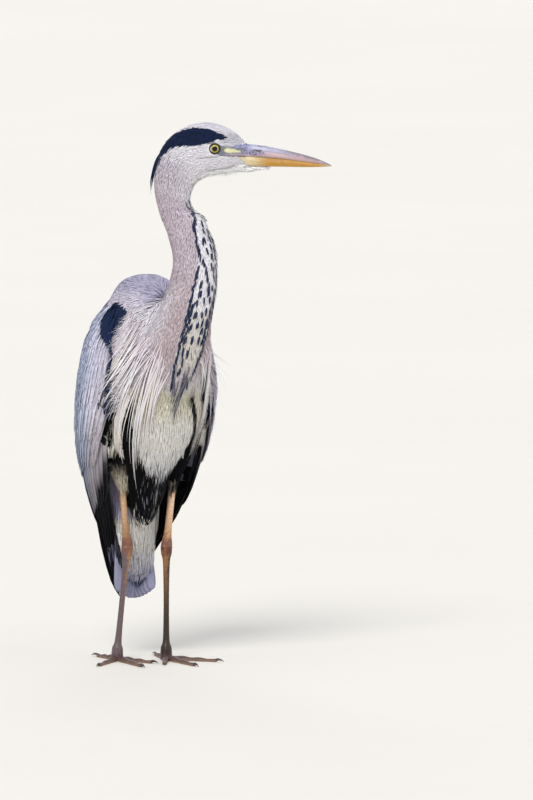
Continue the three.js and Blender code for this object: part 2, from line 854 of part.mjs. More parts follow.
const tailShape = makeTail([torsoRoom]);
add("tail", tailShape, FINISHES.tail);

const wings = [];
for (const [name, leg] of Object.entries(LEGS)) {
  const thigh = makeThigh(leg);
  const thighRoom = swollen(thigh);
  const wing = makeWing(leg.side, [torsoRoom, thighRoom, lowerNeckRoom]);
  wings.push(wing);
  add(`wing_${name}`, wing, FINISHES.wing);
  add(`thigh_${name}`, cutBy(thigh, [torsoRoom]), FINISHES.thigh);
  const tarsus = makeTarsus(leg);
  const tarsusRoom = swollen(tarsus);
  add(`shank_${name}`, cutBy(makeShank(leg), [thighRoom, torsoRoom, tarsusRoom]), FINISHES.leg);
  add(`tarsus_${name}`, tarsus, FINISHES.leg);
  const footRooms = [tarsusRoom];
  for (const toe of TOES) {
    const shape = makeToe(leg, toe);
    add(`toe_${toe[0]}_${name}`, cutBy(shape, footRooms), FINISHES.foot);
    footRooms.push(swollen(shape));
    add(`claw_${toe[0]}_${name}`, makeClaw(leg, toe), FINISHES.claw);
  }
}

// The torso's plumes lie over the wings as well, so they come last.
const [body, ...over] = [torso, lowerNeck, ...wings].map((shape) => new THREE.Mesh(geometryOf(shape)));
const longPlumes = [-1, 1].flatMap((side) => [
  ...plumes(body, [body, ...over], side, BREAST_PLUMES, side < 0 ? 11 : 9, 2.6),
  ...plumes(body, [body, ...over], side, BACK_PLUMES, 4, 3.4),
]);
add("torso", joined([torso, ...longPlumes]), FINISHES.torso);

const box = new THREE.Box3().setFromObject(heron);
heron.position.set(-(box.min.x + box.max.x) / 2, -(box.min.y + box.max.y) / 2, 0);

export default heron;
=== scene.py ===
"""A grey heron at rest, life size: its feathers, skin, bill, eyes and legs over the fixed frame.

Sizes are in millimetres in the modelling frame: +X to the bird's left, -Y to its front, the floor at Z = 0.
"""

import functools
import math

import bpy
import numpy as np
from bpy.props import FloatProperty, FloatVectorProperty, IntProperty, PointerProperty
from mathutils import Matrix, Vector
from mathutils.bvhtree import BVHTree


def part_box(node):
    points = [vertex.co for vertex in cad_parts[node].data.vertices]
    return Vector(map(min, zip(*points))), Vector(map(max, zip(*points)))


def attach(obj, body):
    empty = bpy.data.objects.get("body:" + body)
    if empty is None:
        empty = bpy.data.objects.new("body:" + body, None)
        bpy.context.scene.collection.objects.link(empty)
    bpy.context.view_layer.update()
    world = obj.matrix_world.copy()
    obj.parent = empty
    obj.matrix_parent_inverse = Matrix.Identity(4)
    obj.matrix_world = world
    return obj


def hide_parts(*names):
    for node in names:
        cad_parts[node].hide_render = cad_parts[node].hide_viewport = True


bl_info = {
    "name": "Grey Heron",
    "version": (1, 0, 0),
    "blender": (4, 5, 0),
    "location": "3D View > Sidebar > Heron",
    "description": "Builds a life-size grey heron, feather by feather",
    "category": "Object",
}

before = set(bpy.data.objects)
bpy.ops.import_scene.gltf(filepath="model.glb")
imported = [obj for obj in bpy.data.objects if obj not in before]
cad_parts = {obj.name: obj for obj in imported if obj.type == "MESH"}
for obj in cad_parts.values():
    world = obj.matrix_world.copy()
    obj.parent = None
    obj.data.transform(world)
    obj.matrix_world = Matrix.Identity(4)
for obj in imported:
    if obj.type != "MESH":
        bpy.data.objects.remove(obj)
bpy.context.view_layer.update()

# ---------------------------------------------------------------- driving sizes

HEAD_TURN = math.radians(65)  # from the bird's front towards its left
EYE_MIDDLE = np.array([75.5, -85.0, 735.0])  # between the two eyes
EYE_RADIUS = 8.2
EYE_SIDE = 12.6  # from the middle of the head to the middle of an eyeball

# The head in profile, from the bill's root back and down to the nape.
# Each row: forward and up of the crown line, forward and up of the throat line, half width. From the eyes.
HEAD_PROFILE = [
    [46, 5.5, 47, -27.5, 8.5],
    [33, 18.5, 35, -30.5, 13],
    [17, 29, 18.5, -34.5, 17],
    [0, 34.8, -1.4, -37.5, 19],
    [-17, 36.2, -12, -40.5, 20],
    [-35.5, 32, -21, -46.5, 20.5],
    [-54, 22, -28, -53.5, 20.5],
    [-69.6, 7.8, -32, -62, 20.5],
    [-80.2, -12, -34, -70, 20.5],
    [-84.5, -33, -35, -76, 20.5],
    [-85.5, -52, -34, -82, 20.5],
    [-83.5, -73, -29, -91, 21],
]

# The neck below it. Each row: left, back and up of its middle, half depth, half width, and the way that its
# front faces, in degrees from the bird's front towards its left.
NECK_LINE = [
    [32.4, -68, 637, 31, 24, 56],
    [36.3, -75, 621, 32, 26.5, 42],
    [38.4, -84, 605, 33, 28, 31],
    [40, -92, 586, 33.5, 28, 23],
    [38.6, -97, 567, 34, 28.5, 18],
    [35.3, -100, 548, 36, 31, 14],
    [30.5, -101, 528, 38, 33, 11],
    [23.9, -100, 507, 40, 36, 10],
    [18.2, -97, 482, 41, 41, 8],
    [12.7, -92, 455, 41, 48, 5],
    [8.1, -83, 425, 40, 54, 3],
    [4.8, -66, 385, 36, 56, 0],
    [3, -40, 345, 28, 44, 0],
]

# The trunk. Each row: height, front, back, half width, how far its middle lies to the left.
TRUNK = [
    [194, -15, 20, 7, 3],
    [202, -21, 36, 13, 3],
    [215, -31, 46, 19, 2],
    [240, -42, 56, 27, 1],
    [264, -50, 60, 37, 1],
    [290, -60, 63, 51, 2],
    [315, -73, 65, 69, 2],
    [340, -84, 66, 80, 2],
    [390, -98, 67, 86, 3],
    [440, -92, 67, 79, 4],
    [480, -74, 64, 65, 5],
    [510, -57, 59, 51, 7],
    [533, -38, 48, 39, 9],
    [543, -25, 35, 30, 10],
    [549, -9, 17, 15, 10],
]

# The soft feathering under the tail, in the same columns.
UNDERTAIL = [
    [118, 21, 27, 9, 5],
    [128, 19, 29, 17, 5],
    [145, 18, 32, 22, 5],
    [165, 16, 37, 26, 4],
    [185, 12, 45, 29, 3],
    [205, 8, 51, 31, 2],
    [235, 8, 54, 36, 1],
    [270, 12, 55, 44, 1],
]

# The outside of the folded wings round the trunk, in the same columns.
FOLDED_WINGS = [
    [84, 45, 63, 8, -2],
    [100, 44, 66, 17, -1],
    [120, 42, 70, 26, 1],
    [144, 36, 74, 36, 4],
    [165, 28, 77, 47, 8],
    [189, 14, 79, 58, 11],
    [215, -12, 81, 69, 10],
    [240, -32, 83, 78, 8],
    [264, -48, 84, 85, 6],
    [305, -70, 84, 95.5, 4.5],
    [354, -94, 84, 99.5, 3],
    [400, -104, 82, 98, 3.5],
    [450, -92, 80, 88, 6],
    [480, -80, 76, 74, 7],
    [500, -70, 72, 61, 7],
    [515, -58, 66, 47, 7],
    [531, -40, 56, 31, 8],
]
WING_CORE = (-5, -13)  # the wing's solid middle, from the outside given above
WING_CORE_HEIGHTS = (250, 516)

# The root of the tail, in the same columns.
TAIL_ROOT = [
    [138, 35, 44, 27, 6],
    [165, 37, 50, 27, 5],
    [206, 36, 56, 26, 4],
]

# Small feathers under the lower bill: forward, top, bottom, half width.
CHIN = [
    [34, -24, -31, 9],
    [48, -25.5, -34.5, 7.5],
    [58, -26, -33.8, 6],
    [70, -26.6, -31.5, 4],
    [80, -27, -29, 1.6],
]

LEGS = {
    "left": dict(
        side=1, hip=(48, -16, 316), garter=(40, -17, 243), heel=(39, 0, 160), ankle=(33, -12, 13)
    ),
    "right": dict(
        side=-1, hip=(-49, -14, 318), garter=(-31.5, -4, 246), heel=(-17.5, 10, 161), ankle=(-33.5, 10, 13)
    ),
}

THIGH = ([0, 0.35, 0.7, 1], [28, 22, 12.5, 6.8])  # share of the way from hip to garter, and radius
AXIS = np.array([5.0, -8.0])  # of the trunk, left and back
VOXEL, SMOOTHING_ROUNDS = 2.2, 6  # of the surface that all parts grow together into
GUIDE_PLACES, GUIDE_TURNS = 240, 72  # faces of the grid that tells place and turn on head and neck
MAP_HEIGHT = 560  # how high the trunk's part of the baking map reaches
OWN_NUMBERS = 97  # the range of the feathers' own numbers, which vary their grain
BARB = 0.42  # width of one barb of the feathers' grain

# ---------------------------------------------------------------- numbers and curves


def smooth_rows(rows, place):
    """Rows at any places along a list of rows, on a smooth curve through them."""
    rows = np.asarray(rows, float)
    last = len(rows) - 1
    place = np.clip(np.asarray(place, float), 0, last)
    first = np.clip(np.floor(place).astype(int), 0, last - 1)
    t = (place - first)[..., None]
    a, b, c, d = (rows[np.clip(first + k, 0, last)] for k in (-1, 0, 1, 2))
    bend = (2 * a - 5 * b + 4 * c - d) * t * t
    twist = (3 * b - a - 3 * c + d) * t * t * t
    return 0.5 * (2 * b + (c - a) * t + bend + twist)


def at_height(table, height):
    """The other columns of a table, at any heights within its first column."""
    table = np.asarray(table, float)
    levels = table[:, 0]
    z = np.clip(height, levels[0], levels[-1])
    i = np.clip(np.searchsorted(levels, z) - 1, 0, len(table) - 2)
    before = np.maximum(np.arange(len(table)) - 1, 0)
    after = np.minimum(np.arange(len(table)) + 1, len(table) - 1)
    slopes = (table[after] - table[before]) / (levels[after] - levels[before])[:, None]
    step = (levels[i + 1] - levels[i])[..., None]
    t = (z - levels[i])[..., None] / step
    bend = t * (1 - t) ** 2 * slopes[i] - t * t * (1 - t) * slopes[i + 1]
    rows = (1 + 2 * t) * (1 - t) ** 2 * table[i] + t * t * (3 - 2 * t) * table[i + 1] + step * bend
    return rows[..., 1:]


def unit(vectors):
    return vectors / np.maximum(np.linalg.norm(vectors, axis=-1, keepdims=True), 1e-9)


def lerp(a, b, t):
    return a + (b - a) * t


def step_up(value, low, high):
    """0 below low, 1 above high, and smooth between."""
    t = np.clip((value - low) / (high - low), 0, 1)
    return t * t * (3 - 2 * t)


def step_down(value, low, high):
    """1 below low, 0 above high, and smooth between."""
    return 1 - step_up(value, low, high)


def between(value, low, high, soft):
    """1 between low and high, fading out over soft on either side."""
    return step_up(value, low - soft, low + soft) * step_down(value, high - soft, high + soft)


def bell(value, width):
    """1 at 0, falling away over a width on either side."""
    return np.exp(-((value / width) ** 2))


def along_line(line, value):
    """The second column of a drawn line at any places along its first."""
    line = np.asarray(sorted(line), float)
    return np.interp(value, line[:, 0], line[:, 1])


def joined(parts):
    """Sets of arrays put together, array by array."""
    return (np.concatenate(arrays) for arrays in zip(*parts))


# ---------------------------------------------------------------- surfaces of the body

HEAD_FORWARD = np.array([math.sin(HEAD_TURN), -math.cos(HEAD_TURN), 0])
HEAD_LEFT = np.cross([0, 0, 1], HEAD_FORWARD)
LAST_NECK_PLACE = len(HEAD_PROFILE) + len(NECK_LINE) - 1


def head_point(forward, up, left=0.0):
    """A point given from between the eyes: forward along the head, up, and to the head's left."""
    forward, up, left = np.broadcast_arrays(*(np.asarray(v, float) for v in (forward, up, left)))
    rise = up[..., None] * np.array([0, 0, 1])
    return EYE_MIDDLE + forward[..., None] * HEAD_FORWARD + rise + left[..., None] * HEAD_LEFT


def head_place(points):
    """Forward, up and left of points, from between the eyes."""
    away = points - EYE_MIDDLE
    return away @ HEAD_FORWARD, away[..., 2], away @ HEAD_LEFT


def head_and_neck():
    rows = []
    for f0, u0, f1, u1, half in HEAD_PROFILE:
        rows.append([*head_point(f0, u0), *head_point(f1, u1), half])
    for x, y, z, depth, half, faces in NECK_LINE:
        turn = math.radians(faces)
        front = np.array([math.sin(turn), -math.cos(turn), 0]) * depth
        middle = np.array([x, y, z])
        rows.append([*(middle - front), *(middle + front), half])
    return np.array(rows)


HEAD_AND_NECK = head_and_neck()


def neck_point(place, turn, out=0.0):
    """A point on head and neck: turn is 0 at the front, positive to the bird's left."""
    place, turn = np.broadcast_arrays(np.asarray(place, float), np.asarray(turn, float))
    row = smooth_rows(HEAD_AND_NECK, place)

    def middle_at(where):
        near = smooth_rows(HEAD_AND_NECK, where)
        return (near[..., :3] + near[..., 3:6]) / 2

    middle = middle_at(place)
    along = unit(middle_at(place + 0.1) - middle_at(place - 0.1))
    front = row[..., 3:6] - middle
    left = unit(np.cross(front, along)) * row[..., 6:7]
    point = front * np.cos(turn)[..., None] + left * np.sin(turn)[..., None]
    return middle + point + unit(point) * np.asarray(out, float)[..., None]


def upright(table, height, turn, out=0.0):
    """A point on an upright table: turn is 0 at the back, pi at the front, positive to the bird's left."""
    front, back, half, left = np.moveaxis(at_height(table, height), -1, 0)
    x = left + (half + out) * np.sin(turn)
    y = (front + back) / 2 + ((back - front) / 2 + out) * np.cos(turn)
    return np.stack([x, y, np.broadcast_to(height, x.shape)], -1)


def loft(rings):
    """A closed surface over rings of points [rings, around, 3]: its points and its faces."""
    rings = np.asarray(rings, float)
    count, around = rings.shape[:2]
    ring, spot = np.meshgrid(np.arange(count - 1), np.arange(around), indexing="ij")
    a = (ring * around + spot).ravel()
    b = (ring * around + (spot + 1) % around).ravel()
    sides = np.stack([a, b, b + around, a + around], -1)
    points = np.vstack([rings.reshape(-1, 3), rings[0].mean(0), rings[-1].mean(0)])
    j = np.arange(around)
    k = (j + 1) % around
    last = (count - 1) * around
    first_cap = np.stack([np.full(around, len(points) - 2), k, j], -1)
    last_cap = np.stack([np.full(around, len(points) - 1), last + j, last + k], -1)
    return points, [sides, np.vstack([first_cap, last_cap])]


def loft_places(steps, around):
    """How far round and how far along each point of a loft lies, from 0 to 1."""
    along = np.concatenate([np.repeat(np.linspace(0, 1, steps), around), [0, 1]])
    return np.concatenate([np.tile(np.linspace(0, 1, around), steps), [0.5, 0.5]]), along


def outward(points, faces):
    """The same closed surface with its faces looking outwards."""
    volume = sum(
        np.einsum("ij,ij->i", points[f[:, 0]], np.cross(points[f[:, k]], points[f[:, k + 1]])).sum()
        for f in faces
        for k in range(1, f.shape[1] - 1)
    )
    return (points, faces) if volume > 0 else (points, [f[:, ::-1] for f in faces])


def upright_loft(table, steps, around):
    heights = np.linspace(table[0][0], table[-1][0], steps)[:, None]
    turns = np.linspace(0, 2 * np.pi, around, endpoint=False)[None]
    return loft(upright(table, heights, turns))


def wing_loft(side):
    heights = np.linspace(*WING_CORE_HEIGHTS, 24)[:, None]
    t = np.linspace(0, 1, 24)[:, None]
    turns = side * np.radians(lerp(lerp(13, 33, t), 127, np.linspace(0, 1, 30)[None]))
    thin = np.minimum(1, 0.4 + 4 * (1 - t)) * np.sin(np.linspace(0.05, 1, 30) * np.pi * 0.97)[None] ** 0.4
    outer = upright(FOLDED_WINGS, heights, turns, WING_CORE[0])
    inner = upright(FOLDED_WINGS, heights, turns, WING_CORE[0] + (WING_CORE[1] - WING_CORE[0]) * thin)
    return loft(np.concatenate([outer, inner[:, ::-1]], 1))


def limb(rows, steps, around, swell=None):
    """A round limb through rows of left, back, up and radius. swell(t, turn) adds to its radius."""
    places = np.linspace(0, len(rows) - 1, steps)
    row = smooth_rows(rows, places)
    middle, radius = row[:, :3], row[:, 3]
    along = unit(np.gradient(middle, axis=0))
    across = unit(np.cross([0, 1, 0], along))
    out = np.cross(along, across)
    turn = np.linspace(0, 2 * np.pi, around, endpoint=False)
    reach = np.repeat(radius[:, None], around, 1)
    if swell is not None:
        reach = reach + swell(np.linspace(0, 1, steps)[:, None], turn[None])
    ring = across[:, None] * np.cos(turn)[None, :, None] + out[:, None] * np.sin(turn)[None, :, None]
    return middle[:, None] + ring * reach[..., None]


def thigh_rings(leg):
    hip, garter = np.array(leg["hip"], float), np.array(leg["garter"], float)
    return limb([[*lerp(hip, garter, share), radius] for share, radius in zip(*THIGH)], 24, 24)


def chin_loft():
    forward, top, bottom, half = np.array(CHIN, float).T
    turn = np.linspace(0, 2 * np.pi, 16, endpoint=False)[None]
    up = ((top + bottom) / 2)[:, None] + ((top - bottom) / 2)[:, None] * np.cos(turn)
    return loft(head_point(forward[:, None] + 0 * turn, up, half[:, None] * np.sin(turn)))


# ---------------------------------------------------------------- meshes

eye_low, eye_high = (np.array(corner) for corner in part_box("eye_right"))
SHIFT = (eye_low + eye_high) / 2 * 1000 - head_point(0, 0, -EYE_SIDE)  # from the modelling frame to the row's


def in_row_frame(points):
    return (np.asarray(points, float).reshape(-1, 3) + SHIFT) / 1000


def make_object(name, points, faces, flat=None):
    """An object from points and arrays of faces. flat marks the faces that aren't shaded smooth."""
    mesh = bpy.data.meshes.new(name)
    sizes = np.concatenate([np.full(len(f), f.shape[1]) for f in faces])
    corners = np.concatenate([f.ravel() for f in faces]).astype(np.int32)
    starts = np.concatenate([[0], np.cumsum(sizes)[:-1]]).astype(np.int32)
    mesh.vertices.add(len(points))
    mesh.vertices.foreach_set("co", in_row_frame(points).astype(np.float32).ravel())
    mesh.loops.add(len(corners))
    mesh.loops.foreach_set("vertex_index", corners)
    mesh.polygons.add(len(sizes))
    mesh.polygons.foreach_set("loop_start", starts)
    smooth = np.ones(len(sizes), bool) if flat is None else ~flat
    mesh.polygons.foreach_set("use_smooth", smooth)
    mesh.update(calc_edges=True)
    made = bpy.data.objects.new(name, mesh)
    bpy.context.scene.collection.objects.link(made)
    return made


def corners_of(mesh):
    corners = np.empty(len(mesh.loops), np.int32)
    mesh.loops.foreach_get("vertex_index", corners)
    return corners


def add_tint(mesh, colours):
    """Colours of the points, as the attribute that the finishes read."""
    colours = np.clip(np.asarray(colours, float), 0, 1)
    rgba = np.ones((len(colours), 4), np.float32)
    rgba[:, :3] = colours
    mesh.attributes.new("tint", "FLOAT_COLOR", "POINT").data.foreach_set("color", rgba.ravel())


def add_grain(mesh, vectors):
    """Across and along in millimetres and a number of its own for each feather, for the fine grain."""
    layer = mesh.attributes.new("grain", "FLOAT_VECTOR", "POINT")
    layer.data.foreach_set("vector", np.asarray(vectors, np.float32).ravel())


def add_map(mesh, name, places):
    """A UV map given at the points."""
    layer = mesh.uv_layers.new(name=name)
    layer.data.foreach_set("uv", np.asarray(places, np.float32)[corners_of(mesh)].ravel())


class Surface:
    """A surface that feathers are set on, with its smooth normals and its nearest points."""

    TRIES = 3.5  # places drawn for each that a spacing leaves room for

    def __init__(self, points, faces):
        self.points, self.faces = points, faces
        self.tree = BVHTree.FromPolygons(points.tolist(), faces.tolist())
        a, b, c, d = (points[faces[:, k]] for k in range(4))
        cross = np.cross(c - a, d - b)
        self.area = np.linalg.norm(cross, axis=1) / 2
        normals = np.zeros_like(points)
        for k in range(4):
            np.add.at(normals, faces[:, k], cross)
        self.normals = unit(normals)
        self.face_normals = unit(self.normals[faces].mean(1))
        self.middles = (a + b + c + d) / 4

    def nearest(self, points):
        found = [self.tree.find_nearest(p)[:3:2] for p in points.tolist()]
        spots = np.array([spot for spot, _ in found])
        return spots, self.face_normals[[face for _, face in found]]

    def scatter(self, spacing, rng):
        """Places on the surface, with the spacing that each face asks for. Faces with none are left bare."""
        weight = np.where(spacing > 0, self.area / np.maximum(spacing, 0.1) ** 2, 0)
        count = int(self.TRIES * weight.sum())
        face = rng.choice(len(weight), count, p=weight / weight.sum())
        u, v = rng.random((2, count, 1))
        a, b, c, d = (self.points[self.faces[face, k]] for k in range(4))
        spots = (1 - u) * (1 - v) * a + u * (1 - v) * b + u * v * c + (1 - u) * v * d
        gap = spacing[face]
        cell = gap.max()
        kept, grid = [], {}
        keys = np.floor(spots / cell).astype(int).tolist()
        near = [(i, j, k) for i in (-1, 0, 1) for j in (-1, 0, 1) for k in (-1, 0, 1)]
        for n, ((x, y, z), (p, q, r), g) in enumerate(zip(spots.tolist(), keys, gap.tolist())):
            limit = g * g
            free = True
            for i, j, k in near:
                for a0, b0, c0 in grid.get((p + i, q + j, r + k), ()):
                    if (x - a0) ** 2 + (y - b0) ** 2 + (z - c0) ** 2 < limit:
                        free = False
                        break
                if not free:
                    break
            if free:
                grid.setdefault((p, q, r), []).append((x, y, z))
                kept.append(n)
        return spots[kept]


def melted(parts, voxel, rounds):
    """Closed surfaces grown together into one smooth surface."""
    points, faces, base = [], {3: [], 4: []}, 0
    for part_points, part_faces in (outward(*part) for part in parts):
        points.append(part_points)
        for f in part_faces:
            faces[f.shape[1]].append(f + base)
        base += len(part_points)
    rough = make_object("rough", np.vstack(points), [np.vstack(f) for f in faces.values() if f])
    remesh = rough.modifiers.new("melt", "REMESH")
    remesh.mode, remesh.voxel_size = "VOXEL", voxel / 1000
    relax = rough.modifiers.new("relax", "SMOOTH")
    relax.factor, relax.iterations = 0.5, rounds
    whole = rough.evaluated_get(bpy.context.evaluated_depsgraph_get()).to_mesh()
    co = np.empty(len(whole.vertices) * 3, np.float32)
    whole.vertices.foreach_get("co", co)
    quads = corners_of(whole).reshape(-1, 4)
    mesh = rough.data
    bpy.data.objects.remove(rough)
    bpy.data.meshes.remove(mesh)
    return co.reshape(-1, 3).astype(float) * 1000 - SHIFT, quads


@functools.cache
def hull():
    """The whole body's outside, without its long feathers, as one surface."""
    neck = loft(neck_point(np.linspace(0, LAST_NECK_PLACE, 90)[:, None], np.linspace(0, 2 * np.pi, 40, False)[None]))
    parts = [neck, upright_loft(TRUNK, 50, 60), upright_loft(UNDERTAIL, 24, 36), upright_loft(TAIL_ROOT, 12, 30)]
    parts += [wing_loft(1), wing_loft(-1), chin_loft()]
    parts += [loft(thigh_rings(leg)) for leg in LEGS.values()]
    return Surface(*melted(parts, VOXEL, SMOOTHING_ROUNDS))


@functools.cache
def neck_guide():
    """Head and neck on their own, as a grid that tells place and turn from the nearest face."""
    places = np.linspace(0, LAST_NECK_PLACE, GUIDE_PLACES + 1)
    turns = np.linspace(0, 2 * np.pi, GUIDE_TURNS + 1)
    grid = neck_point(places[:, None], turns[None])
    i, j = np.meshgrid(np.arange(GUIDE_PLACES), np.arange(GUIDE_TURNS), indexing="ij")
    a = (i * len(turns) + j).ravel()
    b = a + len(turns)
    faces = np.stack([a, a + 1, b + 1, b], -1)
    tree = BVHTree.FromPolygons(grid.reshape(-1, 3).tolist(), faces.tolist())
    lie = unit(grid[1:, :-1] - grid[:-1, :-1]).reshape(-1, 3)
    return tree, places[i.ravel()] + 0.05, turns[j.ravel()] + np.pi / GUIDE_TURNS, lie


def on_neck(points):
    """Place, turn from the front, distance and lie of the nearest spot of head and neck."""
    tree, places, turns, lie = neck_guide()
    found = [tree.find_nearest(p)[2:] for p in points.tolist()]
    face = np.array([f for f, _ in found])
    turn = (turns[face] + np.pi) % (2 * np.pi) - np.pi
    return places[face], turn, np.array([d for _, d in found]), lie[face]


def body_turn(points):
    """Turn round the trunk: 0 at the back, pi at the front, positive to the bird's left."""
    return np.arctan2(points[..., 0] - AXIS[0], points[..., 1] - AXIS[1])


def from_back(points):
    """Degrees from the middle of the back, to either side."""
    return np.degrees(np.abs(body_turn(points)))


# ---------------------------------------------------------------- colours

def shade(code):
    """The linear colour of a six-digit code."""
    parts = [int(code[k : k + 2], 16) / 255 for k in (0, 2, 4)]
    return tuple(v / 12.92 if v <= 0.04045 else ((v + 0.055) / 1.055) ** 2.4 for v in parts)


def colour_property(name, description, code):
    return FloatVectorProperty(
        name=name, description=description, default=shade(code), subtype="COLOR", size=3, min=0, max=1
    )


class HeronColours(bpy.types.PropertyGroup):
    """The plumage and the bare parts."""

    white: colour_property("White", "Crown, cheeks, throat and foreneck", "F3F0F7")
    black: colour_property("Black", "Flight feathers and flanks", "0C0D10")
    navy: colour_property("Navy", "Eye stripe, crest, shoulder patch and streaks", "1F2B4A")
    neck: colour_property("Neck", "Sides and back of the neck", "D6C8D2")
    blush: colour_property("Blush", "Lower neck and sides of the breast", "D2C0C6")
    mantle: colour_property("Mantle", "Upper back", "B7B3CF")
    frost: colour_property("Frost", "Shoulders and pale feather edges", "D6D4E6")
    wing: colour_property("Wing", "Outer wing coverts", "B1BAD1")
    wing_edge: colour_property("Wing Edge", "Coverts towards the breast", "B7ACB0")
    cream: colour_property("Cream", "Long plumes of the breast", "EFE8DC")
    belly: colour_property("Belly", "Middle of the belly", "F8F6F1")
    vent: colour_property("Vent", "Feathering under the tail", "E6E4E0")
    tail: colour_property("Tail", "Tail feathers", "8E8EA8")
    thigh: colour_property("Thigh", "Thigh feathering", "D8CCB8")
    shank: colour_property("Shank", "Leg above the heel", "DCB48A")
    heel: colour_property("Heel", "Heel joint", "74493E")
    tarsus: colour_property("Tarsus", "Leg below the heel", "513E38")
    toe: colour_property("Toes", "Toes", "513A3C")
    claw: colour_property("Claws", "Claws", "2C2523")
    bill_top: colour_property("Bill Ridge", "Ridge of the upper bill", "ABA9C0")
    bill_side: colour_property("Bill Side", "Side of the upper bill", "C0A0A2")
    bill_low: colour_property("Lower Bill", "Lower bill", "BC8826")
    bill_pale: colour_property("Bill Base", "Pale base of the lower bill", "D6C79F")
    lore: colour_property("Lore", "Bare skin before the eye", "6E737C")
    lore_patch: colour_property("Lore Patch", "Yellow patch of the lore", "E4E0AE")
    iris: colour_property("Iris", "Ring of the eye", "C0B654")


class HeronSizes(bpy.types.PropertyGroup):
    """Feather sizes and how close they stand."""

    face_spacing: FloatProperty(
        name="Face Spacing", description="Distance between the face's feathers", default=0.0012, unit="LENGTH"
    )
    neck_spacing: FloatProperty(
        name="Neck Spacing", description="Distance between the neck's feathers", default=0.00165, unit="LENGTH"
    )
    body_spacing: FloatProperty(
        name="Body Spacing", description="Distance between the body's feathers", default=0.0032, unit="LENGTH"
    )
    coat_depth: FloatProperty(
        name="Coat Depth", description="Depth of the feathers over the trunk's skin", default=0.005, unit="LENGTH"
    )
    plumes: IntProperty(name="Breast Plumes", description="Long plumes on the right of the breast", default=54)
    lens: FloatProperty(name="Lens", description="Focal length", default=950.6, subtype="DISTANCE_CAMERA")


def palette(name):
    return np.array(getattr(bpy.context.scene.heron_colours, name)[:])


def size(name):
    return getattr(bpy.context.scene.heron_sizes, name) * 1000


def blend(under, over, amount):
    """One colour or set of colours over another by an amount for each point. The palette's may be named."""
    under, over = (palette(colour) if isinstance(colour, str) else colour for colour in (under, over))
    return under + (over - under) * np.asarray(amount, float)[..., None]


# ---------------------------------------------------------------- finishes


class Finish:
    """A material's node tree, built node by node."""

    def __init__(self, name):
        self.material = bpy.data.materials.new(name)
        self.material.use_nodes = True
        self.nodes, self.links = self.material.node_tree.nodes, self.material.node_tree.links
        self.shader = self.nodes["Principled BSDF"]

    def add(self, kind, inputs=None, **settings):
        node = self.nodes.new("ShaderNode" + kind)
        for key, value in settings.items():
            setattr(node, key, value)
        for key, value in (inputs or {}).items():
            self.put(node.inputs[key], value)
        return node

    def put(self, socket, value):
        if isinstance(value, bpy.types.NodeSocket):
            self.links.new(value, socket)
        else:
            socket.default_value = value

    def attribute(self, name, output="Color"):
        return self.add("Attribute", attribute_name=name).outputs[output]

    def math(self, operation, *values):
        return self.add("Math", dict(enumerate(values)), operation=operation).outputs[0]

    def noise(self, vector, scale, detail):
        inputs = {"Vector": vector, "Scale": scale, "Detail": detail, "Roughness": 0.55}
        return self.add("TexNoise", inputs).outputs[0]

    def place(self):
        return self.add("TexCoord").outputs["Object"]

    def range(self, value, low, high, new_low, new_high):
        inputs = {0: value, 1: low, 2: high, 3: new_low, 4: new_high}
        return self.add("MapRange", inputs, interpolation_type="SMOOTHSTEP").outputs[0]

    def mix(self, amount, under, over, kind="MIX"):
        node = self.add("Mix", data_type="RGBA", blend_type=kind)
        for socket, value in ((0, amount), (6, under), (7, over)):
            self.put(node.inputs[socket], value)
        return node.outputs[2]

    def layered(self, first, first_share, second, second_share):
        parts = (self.math("MULTIPLY", *pair) for pair in ((first, first_share), (second, second_share)))
        return self.math("ADD", *parts)

    def scaled(self, colour, factor):
        """A colour made lighter or darker by a grey factor."""
        grey = self.add("CombineColor", {0: factor, 1: factor, 2: factor}).outputs[0]
        return self.mix(1.0, colour, grey, "MULTIPLY")

    def bump(self, height, strength, distance):
        inputs = {"Height": height, "Strength": strength, "Distance": distance}
        self.put(self.shader.inputs["Normal"], self.add("Bump", inputs).outputs[0])

    def finished(self, colour, roughness, **others):
        self.put(self.shader.inputs["Base Color"], colour)
        self.shader.inputs["Roughness"].default_value = roughness
        for key, value in others.items():
            self.shader.inputs[key.replace("_", " ").title().replace("Ior", "IOR")].default_value = value
        return self.material


